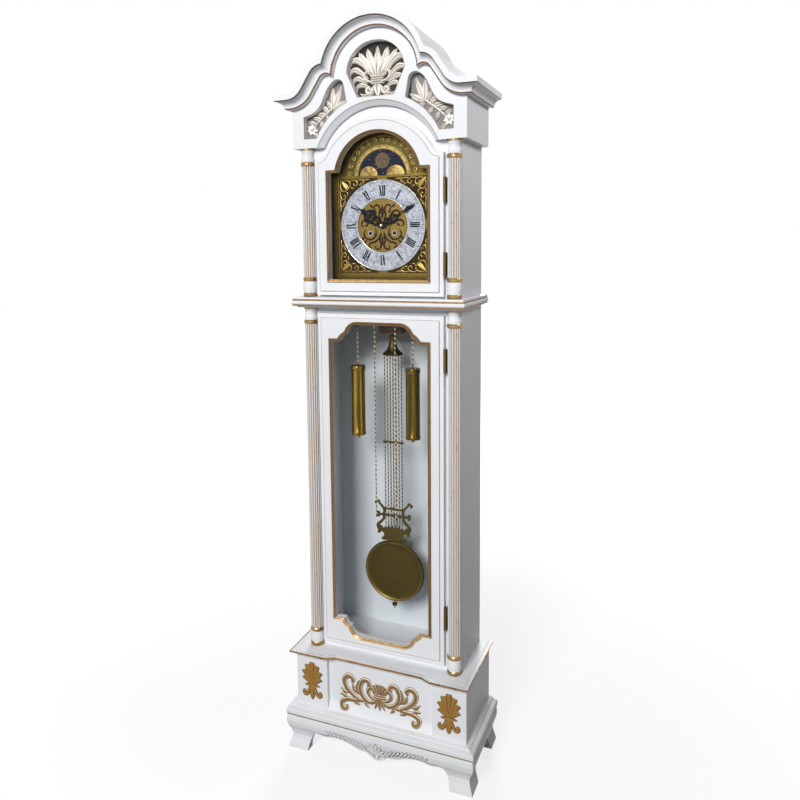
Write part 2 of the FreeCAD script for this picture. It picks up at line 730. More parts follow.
def cornice_section():
    """(drop, outwards share) steps of the cornice, from the frieze face to the roof board."""
    start = CORNICE_STEP / CORNICE_OUT
    low = CORNICE_DROP + CORNICE_FILLET
    steps = [(low, 0), (low, start - CORNICE_FILLET / CORNICE_OUT)]
    for i in range(COVE_STEPS + 1):
        turn = math.pi / 2 * i / COVE_STEPS
        drop = CORNICE_EDGE + (CORNICE_DROP - CORNICE_EDGE) * (1 - math.sin(turn))
        steps.append((drop, 1 - (1 - start) * math.cos(turn)))
    return steps


def cornice():
    """The cove moulding that follows the arch and shoulders, with its side returns."""
    steps = cornice_section()
    bottom = CORNICE_Z - CORNICE_OUT
    end_x = FRIEZE_HALF + CORNICE_SIDE_OUT
    plate = slab(under_crest(0, end_x, bottom), FRIEZE_DEPTH, FRIEZE_DEPTH + CORNICE_OUT)
    wires = [outline_wire(under_crest(-drop, end_x + CUT_OVERRUN, bottom - CUT_OVERRUN),
                          FRIEZE_DEPTH + share * CORNICE_OUT) for drop, share in steps]
    hollow = Part.makeLoft(wires, True, True)
    ring = plate.cut(hollow)
    side = [(FRIEZE_HALF, CORNICE_Z)] + [(FRIEZE_HALF + share * CORNICE_SIDE_OUT, CORNICE_Z - drop)
                                         for drop, share in steps] + [(end_x, CORNICE_Z)]
    long_side = slab(polygon(side), 0, FRIEZE_DEPTH + CORNICE_OUT)
    middle = ring.common(box(-FRIEZE_HALF, FRIEZE_HALF, FRIEZE_DEPTH, DEPTH + CORNICE_OUT, bottom,
                             CREST_Z + CREST_R + CUT_OVERRUN))
    corner = ring.common(long_side)
    front = joined([middle, corner, ring.common(mirror_x(long_side))])
    right = long_side.common(box(0, end_x, 0, FRIEZE_DEPTH, bottom, CORNICE_Z))
    return [front, mirror_x(right), right]


def roof_board():
    """The bent board on top, which follows the arch and shoulders from front to back."""
    end_x = FRIEZE_HALF + CORNICE_SIDE_OUT + ROOF_OVER_SIDE
    depth = FRIEZE_DEPTH + CORNICE_OUT + ROOF_OVER_FRONT
    outer = slab(under_crest(ROOF_T, end_x, CORNICE_Z), 0, depth)
    inner = slab(under_crest(0, end_x, CORNICE_Z - ROOF_T), 0, depth)
    return [outer.cut(inner)]


def crest_opening(gap=0.0):
    """The round pierced opening above the arch, which narrows to a foot."""
    side = (CREST_OPEN_SIDE_X - gap, CREST_OPEN_SIDE_Z)
    turn = math.atan2(side[0], side[1] - CREST_Z) / 2
    radius = CREST_OPEN_R - gap
    mid = (radius * math.sin(turn), CREST_Z + radius * math.cos(turn))
    waist = (CREST_OPEN_WAIST_X - gap, CREST_OPEN_WAIST_Z)
    foot = (CREST_OPEN_FOOT_X - gap, CREST_OPEN_FOOT_Z)
    base_z = CREST_OPEN_BOTTOM_Z + gap
    return mirrored([arc((0, CREST_Z + radius), mid, side), line(side, waist), line(waist, foot),
                     line(foot, (0.9 * foot[0], base_z)), line((0.9 * foot[0], base_z), (0, base_z))])


def side_opening(gap=0.0):
    """The pierced opening under the right-hand shoulder."""
    inner_shares = [(0.82, 0), (0.69, 0.38), (0.39, 0.64), (0.43, 0.9)]
    top_shares = [(0.48, 0.98), (0.57, 0.97)]
    outer_shares = [(0.66, 0.86), (0.74, 0.67), (0.89, 0.51), (1, 0.47), (1, 0)]
    tall = CREST_Z - FRIEZE_Z
    points = scaled(inner_shares, SIDE_OPEN_HALF, tall, gap, FRIEZE_Z)
    points += scaled(top_shares, SIDE_OPEN_HALF, tall, 0, FRIEZE_Z - gap)
    points += scaled(outer_shares, SIDE_OPEN_HALF, tall, -gap, FRIEZE_Z)
    low_z = FRIEZE_Z + SIDE_OPEN_UP + gap
    points[0], points[-1] = (points[0][0], low_z), (points[-1][0], low_z)
    return [arc(*points[0:3]), line(points[2], points[3]), arc(*points[3:6]), curve(*points[5:9]),
            line(points[8], points[9]), line(points[9], points[10]), line(points[10], points[0])]


def frieze_arch_cut():
    """The round-headed hollow above the upper door, with its chamfered edge."""
    back, front = CASE_DEPTH - CUT_OVERRUN, FRIEZE_DEPTH + CUT_OVERRUN
    bore = rod(FRIEZE_ARCH_R, 0, FRIEZE_ARCH_Z, back, front)
    flare = Part.makeCone(FRIEZE_ARCH_R + FRIEZE_COVE, FRIEZE_ARCH_R, FRIEZE_COVE,
                          V(0, at(FRIEZE_DEPTH), FRIEZE_ARCH_Z), V(0, 1, 0))
    lip = rod(FRIEZE_ARCH_R + FRIEZE_COVE, 0, FRIEZE_ARCH_Z, FRIEZE_DEPTH, front)
    return bore.multiFuse([flare, lip])


def frieze_boards():
    """The pierced front board of the hood and its two side boards."""
    board = clipped_crest(FRIEZE_HALF, FRIEZE_Z)
    front = board.common(box(-FRIEZE_HALF, FRIEZE_HALF, CASE_DEPTH + CLOTH_T, FRIEZE_DEPTH, FRIEZE_Z,
                             CREST_Z + CREST_R + CUT_OVERRUN))
    front = front.cut(frieze_arch_cut())
    for runs in (crest_opening(), side_opening(), flipped(side_opening())):
        front = front.cut(slab(runs, CASE_DEPTH, FRIEZE_DEPTH + CUT_OVERRUN))
    right = box(CASE_HALF, FRIEZE_HALF, 0, CASE_DEPTH + CLOTH_T, FRIEZE_Z, CORNICE_Z)
    return [front, mirror_x(right), right]


def fret_cloth():
    """The dark cloth behind the pierced openings."""
    cloth = clipped_crest(CASE_HALF, FRIEZE_Z)
    cloth = cloth.common(box(-CASE_HALF, CASE_HALF, CASE_DEPTH, CASE_DEPTH + CLOTH_T, FRIEZE_Z,
                             CREST_Z + CREST_R))
    return [cloth.cut(rod(FRIEZE_ARCH_R, 0, FRIEZE_ARCH_Z, 0, DEPTH))]


def frieze_carvings():
    """A plume of leaves tied with a band in the middle, and a leafy spray on each side."""
    back = CASE_DEPTH + CLOTH_T
    thick, thin = back + CARVING_T, back + 0.6 * CARVING_T
    tie_z = CREST_OPEN_WAIST_Z
    plume = CREST_Z + CREST_OPEN_R - tie_z
    scroll_width_shares = [0.08, 0.16, 0.2, 0.16, 0.06]
    pieces = [leaf(0, tie_z - 0.1 * plume, 1.0 * plume, 0.27 * plume, 0, back, thick)]
    for side in (-1, 1):
        for angle, share in ((20, 0.97), (42, 0.93)):
            pieces.append(leaf(0, tie_z - 0.1 * plume, share * plume, 0.25 * plume, side * angle, back, thin))
        x = side * 0.55 * CREST_OPEN_R
        pieces.append(leaf(0, tie_z, 0.72 * plume, 0.3 * plume, side * 66, back, thin))
        route = [(0, tie_z - 0.2 * plume), (x * 0.5, CREST_OPEN_FOOT_Z), (x, tie_z - 0.05 * plume),
                 (x * 1.25, tie_z + 0.3 * plume), (x * 1.05, tie_z + 0.5 * plume)]
        pieces.append(ribbon(route, [share * plume for share in scroll_width_shares], back, thick))
    tie = 0.2 * CREST_OPEN_R
    pieces.append(box(-tie, tie, back, back + 1.1 * CARVING_T, tie_z - 0.18 * plume, tie_z + 0.05 * plume))
    pieces.append(leaf(0, tie_z, 0.28 * plume, 0.16 * plume, 180, back, thin))
    centre = joined(pieces).common(slab(crest_opening(CARVING_GAP), back, thick + CARVING_T))
    wide, tall = SIDE_OPEN_HALF, CREST_Z - FRIEZE_Z
    stem_shares = [(0.9, 0.2), (0.75, 0.46), (0.6, 0.66), (0.5, 0.92)]
    spray_shares = [(0.9, 0.22, 215, 0.3), (0.88, 0.25, 20, 0.26), (0.84, 0.32, 250, 0.3),
                    (0.8, 0.38, 5, 0.3), (0.75, 0.46, 262, 0.32), (0.67, 0.57, -5, 0.34),
                    (0.62, 0.63, 290, 0.3), (0.56, 0.76, 12, 0.28), (0.9, 0.2, 160, 0.2)]
    width_shares = [0.04, 0.08, 0.06, 0.03]
    stem = scaled(stem_shares, wide, tall, z=FRIEZE_Z)
    spray = [ribbon(stem, [share * tall for share in width_shares], back, thick)]
    for x, z, angle, size in spray_shares:
        spray.append(leaf(x * wide, FRIEZE_Z + z * tall, size * tall, 0.42 * size * tall, angle, back, thin))
    right = joined(spray).common(slab(side_opening(CARVING_GAP), back, thick + CARVING_T))
    return [centre, right, mirror_x(right)]


def arched(half, low, shoulder, arch_z, radius, grow=0.0):
    """A closed outline with square shoulders and a round head, larger all round by grow."""
    side, top, r = half + grow, shoulder + grow, radius + grow
    spring = math.sqrt(r ** 2 - (top - arch_z) ** 2)
    return mirrored([line((0, low - grow), (side, low - grow)), line((side, low - grow), (side, top)),
                     line((side, top), (spring, top)), ("arc", arch_half(spring, top, arch_z, r))])


def arch_half(x, z, arch_z, radius):
    """Three points of a round head, from where it springs to the top."""
    turn = math.atan2(x, z - arch_z) / 2
    return [(x, z), (radius * math.sin(turn), arch_z + radius * math.cos(turn)), (0, arch_z + radius)]


def dial_outline(grow=0.0):
    """The outline of the dial plate."""
    return arched(DIAL_HALF, DIAL_Z, DIAL_SHOULDER_Z, DIAL_ARCH_Z, DIAL_ARCH_R, grow)


def upper_opening(grow=0.0):
    """The glazed opening of the upper door."""
    return arched(OPENING_HALF, UPPER_OPEN_Z, UPPER_OPEN_SHOULDER_Z, UPPER_OPEN_ARCH_Z,
                  UPPER_OPEN_ARCH_R, grow)


def upper_field(grow=0.0):
    """The raised field of the upper door, with a small reverse curve under its arch."""
    side, radius = DOOR_HALF - DOOR_EDGE + grow, UPPER_ARCH_R + grow
    cusp_x = UPPER_CUSP_SHARE * side
    cusp_z = UPPER_ARCH_Z + math.sqrt(radius ** 2 - cusp_x ** 2)
    shoulder, low = UPPER_SHOULDER_Z + grow, UPPER_DOOR_Z + DOOR_EDGE - grow
    bend = (side - 0.57 * (side - cusp_x), shoulder + 0.25 * (cusp_z - shoulder))
    return mirrored([line((0, low), (side, low)), line((side, low), (side, shoulder)),
                     arc((side, shoulder), bend, (cusp_x, cusp_z)),
                     ("arc", arch_half(cusp_x, cusp_z, UPPER_ARCH_Z, radius))])


def lower_field(grow=0.0):
    """The raised field of the lower door."""
    side = DOOR_HALF - DOOR_EDGE + grow
    low, high = LOWER_DOOR_Z + DOOR_EDGE - grow, LOWER_DOOR_Z + LOWER_DOOR_H - DOOR_EDGE + grow
    return polygon([(-side, low), (side, low), (side, high), (-side, high)])


def lower_opening(grow=0.0):
    """The glazed opening of the lower door, with shaped shoulders at top and foot."""
    side = OPENING_HALF + grow
    flat = LOWER_FLAT_SHARE * OPENING_HALF + 0.4 * grow
    turn_x = LOWER_BREAK_SHARE * OPENING_HALF + 0.7 * grow
    shoulder = LOWER_SHOULDER_SHARE * OPENING_HALF + grow
    rise, bend = LOWER_RISE, LOWER_BREAK_RISE_SHARE * LOWER_RISE
    low, high = LOWER_OPEN_Z - grow, LOWER_OPEN_Z + LOWER_OPEN_H + grow
    hump = (flat + 0.6 * (turn_x - flat), 0.26 * bend)
    kink = (turn_x + 0.6 * (shoulder - turn_x), bend + 0.42 * (rise - bend))
    return mirrored([
        line((0, low), (flat, low)),
        arc((flat, low), (hump[0], low + hump[1]), (turn_x, low + bend)),
        arc((turn_x, low + bend), (kink[0], low + kink[1]), (shoulder, low + rise)),
        line((shoulder, low + rise), (side, low + rise)),
        line((side, low + rise), (side, high - rise)),
        line((side, high - rise), (shoulder, high - rise)),
        arc((shoulder, high - rise), (kink[0], high - kink[1]), (turn_x, high - bend)),
        arc((turn_x, high - bend), (hump[0], high - hump[1]), (flat, high)),
        line((flat, high), (0, high)),
    ])


def door_frame(field, opening):
    """A door frame: a flat back, a raised field, a glazing rebate and a bead round the opening."""
    back, front = DOOR_BACK, DOOR_FRONT
    frame = joined([slab(field(DOOR_EDGE), back, front - DOOR_FIELD_T), slab(field(), back, front)])
    frame = frame.cut(slab(opening(), back - CUT_OVERRUN, front + CUT_OVERRUN))
    frame = frame.cut(slab(opening(GLASS_LAP), back - CUT_OVERRUN, back + GLASS_T + GLASS_GAP))
    bead = slab(opening(BEAD_W), front, front + BEAD_PROUD).cut(slab(opening(), back, front + DOOR_T))
    return joined([frame, bead])


def door_glass(opening):
    """The pane that lies in the rebate."""
    return slab(opening(GLASS_LAP - GLASS_GAP), DOOR_BACK + GLASS_GAP, DOOR_BACK + GLASS_GAP + GLASS_T)


def hinge_heights():
    """The middle height of each hinge: two for the upper door, two for the lower."""
    upper = (UPPER_DOOR_Z + HINGE_INSET, UPPER_SHOULDER_Z - HINGE_INSET)
    lower = (LOWER_DOOR_Z + 1.6 * HINGE_INSET, LOWER_DOOR_Z + LOWER_DOOR_H - 1.4 * HINGE_INSET)
    return upper, lower


def hinge_axis():
    """The x and the depth of the hinge pins."""
    return DOOR_HALF + HINGE_OUT, DOOR_FRONT - HINGE_PIN_R / 2


def knuckle(z0, z1):
    """One bored knuckle of a hinge."""
    x, depth = hinge_axis()
    return post(HINGE_R, x, depth, z0, z1).cut(
        post(HINGE_PIN_R + HINGE_FREE, x, depth, z0 - CUT_OVERRUN, z1 + CUT_OVERRUN))


def door_leaves(heights):
    """The hinge leaves on a door's edge, each with the middle knuckle."""
    x, depth = hinge_axis()
    third = HINGE_H / 6
    leaves = []
    for z in heights:
        plate = box(DOOR_HALF, DOOR_HALF + HINGE_LEAF, depth - HINGE_LEAF_W, depth,
                    z - HINGE_H / 2, z + HINGE_H / 2)
        low, high = z - third + HINGE_GAP, z + third - HINGE_GAP
        room = post(HINGE_R + HINGE_GAP, x, depth, z - HINGE_H, z + HINGE_H)
        web = box(DOOR_HALF, x, depth - HINGE_LEAF, depth, low, high).cut(
            post(HINGE_PIN_R + HINGE_FREE, x, depth, low - CUT_OVERRUN, high + CUT_OVERRUN))
        leaves.append(joined([plate.cut(room), knuckle(low, high), web]))
    return leaves


def case_leaves():
    """The hinge leaves on the face frame, their outer knuckles and the hinge pins."""
    x, depth = hinge_axis()
    third = HINGE_H / 6
    pieces = []
    for z in hinge_heights()[0] + hinge_heights()[1]:
        low, high = z - HINGE_H / 2, z + HINGE_H / 2
        plate = box(x - HINGE_LEAF, x + HINGE_R, CASE_DEPTH, CASE_DEPTH + HINGE_LEAF, low, high)
        web = box(x + HINGE_PIN_R + HINGE_GAP, x + HINGE_R, CASE_DEPTH, depth, low, high).cut(
            post(HINGE_R + HINGE_GAP, x, depth, z - third - HINGE_GAP, z + third + HINGE_GAP))
        ends = [knuckle(low, z - third), knuckle(z + third, high)]
        pieces.append(joined([plate, web] + ends))
        pin = post(HINGE_PIN_R, x, depth, low, high)
        cap = post(HINGE_R, x, depth, high, high + HINGE_LEAF)
        pieces.append(joined([pin, cap]))
    return pieces


def side_panels():
    """The two side panels of the trunk and hood."""
    right = box(INSIDE_HALF, CASE_HALF, BACK_T, CASE_DEPTH - FRAME_T, CASE_Z, CORNICE_Z)
    return [right, mirror_x(right)]


def back_panel():
    """The back panel, shaped at the top to meet the roof board."""
    panel = clipped_crest(CASE_HALF, CASE_Z)
    return [panel.common(box(-CASE_HALF, CASE_HALF, 0, BACK_T, CASE_Z, CREST_Z + CREST_R + CUT_OVERRUN))]


def face_frame():
    """The frame behind the doors, with an opening behind each of them."""
    top = CREST_Z + CREST_R + CUT_OVERRUN
    frame = clipped_crest(CASE_HALF, CASE_Z).common(
        box(-CASE_HALF, CASE_HALF, CASE_DEPTH - FRAME_T, CASE_DEPTH, CASE_Z, top))
    for runs in (upper_opening(FRAME_LAP), lower_opening(FRAME_LAP)):
        frame = frame.cut(slab(runs, 0, DEPTH))
    return [frame]


def columns():
    """Four fluted columns, engaged against the face frame, each with its turned ends."""
    pieces = []
    bite = box(-DEPTH, DEPTH, -DEPTH, CASE_DEPTH, 0, HOLLOW_Z)
    for low, high in ((CASE_Z, WAIST_Z), (WAIST_TOP, FRIEZE_Z)):
        drum = turned([(NECK_R, low), (NECK_R, low + RING_H), (COLUMN_R, low + RING_H),
                       (RING_R, low + RING_H + DRUM_H / 3), (RING_R, low + RING_H + 2 * DRUM_H / 3),
                       (COLUMN_R, low + RING_H + DRUM_H), (NECK_R, low + RING_H + DRUM_H),
                       (NECK_R, low + 2 * RING_H + DRUM_H)], 0, COLUMN_DEPTH)
        cap_low = high - RING_H / 2 - CAP_H
        cap = turned([(NECK_R, cap_low - RING_H), (NECK_R, cap_low), (COLUMN_R, cap_low),
                      (COLUMN_R, cap_low + CAP_H / 4), (NECK_R, cap_low + CAP_H / 2),
                      (NECK_R, cap_low + 0.7 * CAP_H), (COLUMN_R, cap_low + CAP_H), (NECK_R, cap_low + CAP_H),
                      (NECK_R, high)], 0, COLUMN_DEPTH)
        shaft_low, shaft_high = low + 2 * RING_H + DRUM_H, cap_low - RING_H
        face = Part.Face(Part.Wire(Part.makeCircle(COLUMN_R, V(0, at(COLUMN_DEPTH), shaft_low))))
        grooves = []
        for i in range(FLUTES):
            turn = 2 * math.pi * (i + 0.5) / FLUTES
            place = V(COLUMN_R * math.cos(turn), at(COLUMN_DEPTH) + COLUMN_R * math.sin(turn), shaft_low)
            if place.y < at(COLUMN_DEPTH) + FLUTE_R:
                grooves.append(Part.Face(Part.Wire(Part.makeCircle(FLUTE_R, place))))
        shaft = face.cut(grooves).extrude(V(0, 0, shaft_high - shaft_low))
        column = joined([drum, shaft, cap]).cut(bite)
        for x in (-COLUMN_X, COLUMN_X):
            pieces.append(column.translated(V(x, 0, 0)))
    return pieces


def column_rings():
    """The gilt rings round each column: base, collar over the base, collar under the cap, top."""
    pieces = []
    bite = box(-DEPTH, DEPTH, -DEPTH, CASE_DEPTH, 0, HOLLOW_Z)
    for low, high in ((CASE_Z, WAIST_Z), (WAIST_TOP, FRIEZE_Z)):
        cap_low = high - RING_H / 2 - CAP_H
        for start, tall in ((low, RING_H), (low + RING_H + DRUM_H, RING_H), (cap_low - RING_H, RING_H),
                            (high - RING_H / 2, RING_H / 2)):
            ring = turned([(COLUMN_R, start), (RING_R, start + 0.25 * tall), (RING_R, start + 0.75 * tall),
                           (COLUMN_R, start + tall)], 0, COLUMN_DEPTH)
            ring = ring.cut(post(NECK_R, 0, COLUMN_DEPTH, start - CUT_OVERRUN, start + tall + CUT_OVERRUN))
            ring = ring.cut(bite)
            for x in (-COLUMN_X, COLUMN_X):
                pieces.append(ring.translated(V(x, 0, 0)))
    return pieces


def shell(x, z, size, depth):
    """A fan of ribs over a tied stem with two curled feet."""
    thick = 0.06 * size
    curl_shares = [(0, -0.12), (0.1, -0.3), (0.22, -0.27), (0.2, -0.17)]
    width_shares = [0.08, 0.09, 0.09, 0.05]
    pieces = [leaf(x, z, 0.62 * size, 0.26 * size, angle, depth, depth + thick)
              for angle in (-46, -24, 0, 24, 46)]
    tie = 0.16 * size
    pieces.append(box(x - tie, x + tie, depth, depth + 1.2 * thick, z - 0.02 * size, z + 0.04 * size))
    pieces.append(leaf(x, z + 0.04 * size, 0.42 * size, 0.2 * size, 180, depth, depth + thick))
    for side in (-1, 1):
        curl = scaled(curl_shares, side * size, size, x, z)
        pieces.append(ribbon(curl, [share * size for share in width_shares], depth, depth + thick))
    return joined(pieces)


def base_shells():
    """The carved shells on the two corner blocks."""
    size = 0.8 * BASE_BOX_H
    x, z = BASE_HALF - BLOCK_W / 2, BOX_Z + 0.42 * BASE_BOX_H
    right = shell(x, z, size, BASE_DEPTH)
    return [right, mirror_x(right)]


def base_carvings():
    """The carved pieces on the front of the base box."""
    return base_shells() + base_scroll()


def base_scroll():
    """The carved scrolls and tied plume on the recessed panel."""
    face = BASE_DEPTH - PANEL_RECESS
    half, middle = 0.76 * (BASE_HALF - BLOCK_W), BOX_Z + 0.45 * BASE_BOX_H
    thick = 0.07 * half
    tall = 0.57 * BASE_BOX_H
    pieces = [leaf(0, middle, 0.5 * tall, 0.24 * tall, angle, face, face + thick)
              for angle in (-36, -12, 12, 36)]
    pieces += [leaf(0, middle, 0.48 * tall, 0.2 * tall, angle, face, face + thick)
               for angle in (180, 140, 220)]
    tie = 0.16 * tall
    pieces.append(box(-tie, tie, face, face + 1.2 * thick, middle - 0.04 * tall, middle + 0.1 * tall))
    scroll_shares = [
        [(0, -0.2), (0.22, -0.28), (0.3, 0.0), (0.2, 0.2), (0.1, 0.1)],
        [(0.1, -0.3), (0.36, -0.24), (0.52, 0.1), (0.42, 0.42), (0.26, 0.36)],
        [(0.3, -0.26), (0.6, -0.16), (0.9, 0.08), (0.92, 0.4), (0.76, 0.44), (0.7, 0.3)],
        [(0.4, -0.24), (0.66, -0.2), (0.84, -0.24), (1.0, -0.36), (0.92, -0.5), (0.84, -0.42)],
    ]
    width_shares = [0.05, 0.1, 0.11, 0.09, 0.05]
    widths = [share * tall for share in width_shares]
    for scroll in scroll_shares:
        points = scaled(scroll, half, tall, z=middle)
        pieces.append(ribbon(points, widths, face, face + thick))
        pieces.append(ribbon([(-x, z) for x, z in points], widths, face, face + thick))
    return [joined(pieces)]


def apron_carving():
    """The low relief of a shell and leaves on the apron, which lies on the board's hollow face."""
    depth = BASE_DEPTH + 0.6 * MOULD_OUT
    half = BASE_HALF - BLOCK_W
    top, low = 0.8 * FEET_H, APRON_Z - 0.7 * APRON_DROP
    thick = 0.4 * MOULD_OUT
    stem_shares = [(0, 0.2), (0.3, 0.42), (0.62, 0.72), (1, 0.84)]
    width_shares = [0.3, 0.34, 0.24, 0.06]
    pieces = [leaf(0, low, top - low, 0.3 * (top - low), angle, depth, depth + thick)
              for angle in (-30, 0, 30)]
    for side in (-1, 1):
        stem = scaled(stem_shares, side * half, top - low, z=low)
        pieces.append(ribbon(stem, [share * (top - low) for share in width_shares], depth, depth + thick))
    relief = joined(pieces)
    feet = bracket_feet()[0]
    return [relief.cut(feet)]


def dial_mask():
    """The board round the dial, behind the face frame."""
    reach = FRAME_LAP + MASK_MARGIN
    board = box(-INSIDE_HALF, INSIDE_HALF, DIAL_FRONT, DIAL_FRONT + MASK_T,
                UPPER_OPEN_Z - reach, UPPER_OPEN_ARCH_Z + UPPER_OPEN_ARCH_R + reach)
    return [board.cut(slab(dial_outline(), 0, DEPTH))]


def moon_window(grow=0.0):
    """The half-round window over the moon disc, less the two humps."""
    radius = MOON_WINDOW_R + grow
    disc = rod(radius, 0, MOON_Z, 0, DEPTH).common(box(-radius, radius, 0, DEPTH, MOON_Z, MOON_Z + radius))
    for side in (-1, 1):
        disc = disc.cut(rod(MOON_HUMP_R - grow, side * MOON_HUMP_X, MOON_Z, 0, DEPTH))
    return disc


def dial_plate():
    """The arched brass plate, with the moon window and the holes for the arbors."""
    plate = slab(dial_outline(DIAL_LAP), DIAL_BACK, DIAL_FRONT)
    plate = plate.cut(moon_window())
    plate = plate.cut(rod(PIPE_R + ARBOR_ROOM, 0, DIAL_CENTRE_Z, 0, DEPTH))
    for side in (-1, 1):
        plate = plate.cut(rod(EYELET_HOLE_R, side * EYELET_X, EYELET_Z, 0, DEPTH))
    return [plate]


def chapter_ring():
    """The silvered ring that carries the hours."""
    ring = rod(RING_OUTER, 0, DIAL_CENTRE_Z, DIAL_FRONT, DIAL_FRONT + RING_T)
    return [ring.cut(rod(RING_INNER, 0, DIAL_CENTRE_Z, 0, DEPTH))]


def centre_disc():
    """The engraved disc inside the chapter ring."""
    disc = rod(DISC_R, 0, DIAL_CENTRE_Z, DIAL_FRONT, DIAL_FRONT + DISC_T)
    disc = disc.cut(rod(PIPE_R + ARBOR_ROOM, 0, DIAL_CENTRE_Z, 0, DEPTH))
    for side in (-1, 1):
        disc = disc.cut(rod(EYELET_HOLE_R, side * EYELET_X, EYELET_Z, 0, DEPTH))
    return [disc] + eyelets()


def eyelets():
    """The bright rims round the two winding holes."""
    pieces = []
    for side in (-1, 1):
        x = side * EYELET_X
        rim = rod(EYELET_R, x, EYELET_Z, DIAL_FRONT + DISC_T, DIAL_FRONT + DISC_T + EYELET_T)
        pieces.append(rim.cut(rod(EYELET_HOLE_R, x, EYELET_Z, 0, DEPTH)))
    return pieces


def spandrels():
    """Four corner castings: each fills a corner between the square and the chapter ring."""
    top = DIAL_CENTRE_Z + (DIAL_CENTRE_Z - DIAL_Z) - SPANDREL_R
    low = DIAL_Z + SPANDREL_R
    edge_x = DIAL_HALF - SPANDREL_R
    ring = rod(RING_OUTER + SPANDREL_R / 2, 0, DIAL_CENTRE_Z, 0, DEPTH)
    pieces = []
    for z, inward in ((low, 1), (top, -1)):
        reach = edge_x / 2
        corner = slab(polygon([(edge_x, z), (edge_x, z + inward * reach), (edge_x - reach, z)]),
                      DIAL_FRONT, DIAL_FRONT + SPANDREL_T).cut(ring)
        pieces += [corner, mirror_x(corner)]
    return pieces


def lunar_arc():
    """The graduated arc over the moon window."""
    ring = rod(LUNAR_OUT, 0, MOON_Z, DIAL_FRONT, DIAL_FRONT + LUNAR_T)
    ring = ring.cut(rod(LUNAR_IN, 0, MOON_Z, 0, DEPTH))
    return [ring.common(box(-LUNAR_OUT, LUNAR_OUT, 0, DEPTH, MOON_Z + SPANDREL_R, MOON_Z + LUNAR_OUT))]


def dial_mounts():
    """The castings and the graduated arc that are fixed to the dial plate."""
    return spandrels() + lunar_arc()


def moon_disc():
    """The painted disc with two moons, which turns behind the window."""
    front = DIAL_BACK - MOON_GAP
    disc = rod(MOON_DISC_R, 0, MOON_Z, front - MOON_DISC_T, front)
    return [disc.cut(rod(PIVOT_R + RUN_GAP, 0, MOON_Z, 0, DEPTH))]


def hand(length, station_shares, turn, depth, bore):
    """A pierced hand: its outline from (distance, half width) shares, turned clockwise from twelve."""
    right = scaled(station_shares, length, length)
    tip, wide = right[-1]
    near, root = right[0]
    runs = [curve(*[(w, s) for s, w in right]), line((wide, tip), (-wide, tip)),
            curve(*[(-w, s) for s, w in reversed(right)]), line((-root, near), (root, near))]
    blade = slab(runs, depth, depth + HAND_T)
    blade.translate(V(0, 0, DIAL_CENTRE_Z))
    boss = rod(bore + 0.04 * length, 0, DIAL_CENTRE_Z, depth, depth + HAND_T)
    whole = joined([blade, boss]).cut(rod(bore, 0, DIAL_CENTRE_Z, 0, DEPTH))
    whole.rotate(V(0, 0, DIAL_CENTRE_Z), V(0, 1, 0), turn)
    return whole


def hour_hand():
    """The wide ornate hour hand."""
    station_shares = [(0.02, 0.03), (0.12, 0.028), (0.25, 0.05), (0.36, 0.12), (0.48, 0.14), (0.6, 0.07),
                      (0.7, 0.03), (0.84, 0.018), (1.0, 0.003)]
    return [hand(HOUR_HAND_L, station_shares, HOUR_ANGLE, DIAL_FRONT + HOUR_HAND_UP, PIPE_R)]


def minute_hand():
    """The minute hand and the domed nut that holds it."""
    station_shares = [(0.02, 0.03), (0.12, 0.028), (0.24, 0.06), (0.36, 0.09), (0.48, 0.06), (0.6, 0.025),
                      (0.8, 0.02), (1.0, 0.003)]
    depth = DIAL_FRONT + MINUTE_HAND_UP
    blade = hand(MINUTE_HAND_L, station_shares, MINUTE_ANGLE, depth, ARBOR_R)
    nut = rod(NUT_R, 0, DIAL_CENTRE_Z, depth + HAND_T, depth + HAND_T + NUT_H)
    return [blade, nut]


def wheel(teeth, radius, x, z, depth0, depth1, bore, phase):
    """A toothed wheel whose teeth are slim enough to turn freely in mesh."""
    module = 2 * radius / teeth
    tip, root = radius + 0.62 * module, radius - 0.95 * module
    pitch = 2 * math.pi / teeth
    points = []
    for i in range(teeth):
        middle = math.radians(phase) + i * pitch
        for r, share in ((root, -0.26), (tip, -0.1), (tip, 0.1), (root, 0.26)):
            turn = middle + share * pitch
            points.append((x + r * math.cos(turn), z + r * math.sin(turn)))
    blank = slab(polygon(points), depth0, depth1)
    return blank.cut(rod(bore, x, z, depth0 - CUT_OVERRUN, depth1 + CUT_OVERRUN)) if bore else blank


def facing(place, other):
    """The direction from one arbor to another, in degrees."""
    return math.degrees(math.atan2(other[1] - place[1], other[0] - place[0]))


def arbors():
    """Where each arbor of the movement stands, as (x, z), with the pitch radii between them."""
    centre = (0.0, DIAL_CENTRE_Z)
    time = (-EYELET_X, EYELET_Z)
    strike = (EYELET_X, EYELET_Z)
    reach = math.hypot(EYELET_X, EYELET_DROP)
    great = reach * GREAT_TEETH / (GREAT_TEETH + CENTRE_PINION)
    centre_wheel = TRAIN_MODULE * CENTRE_TEETH / 2
    train_pinion = TRAIN_MODULE * TRAIN_PINION / 2
    step = (centre_wheel + train_pinion) * math.sqrt(0.5)
    third = (-step, DIAL_CENTRE_Z + step)
    third_wheel = THIRD_MODULE * THIRD_TEETH / 2
    escape_pinion = THIRD_MODULE * TRAIN_PINION / 2
    escape = (0.0, third[1] + math.sqrt((third_wheel + escape_pinion) ** 2 - step ** 2))
    pallets = (0.0, escape[1] + ESCAPE_R * math.sqrt(2))
    return {"centre": centre, "time": time, "strike": strike, "third": third, "escape": escape,
            "pallets": pallets, "great_r": great, "centre_pinion_r": reach - great,
            "centre_wheel_r": centre_wheel, "train_pinion_r": train_pinion,
            "third_wheel_r": third_wheel, "escape_pinion_r": escape_pinion}


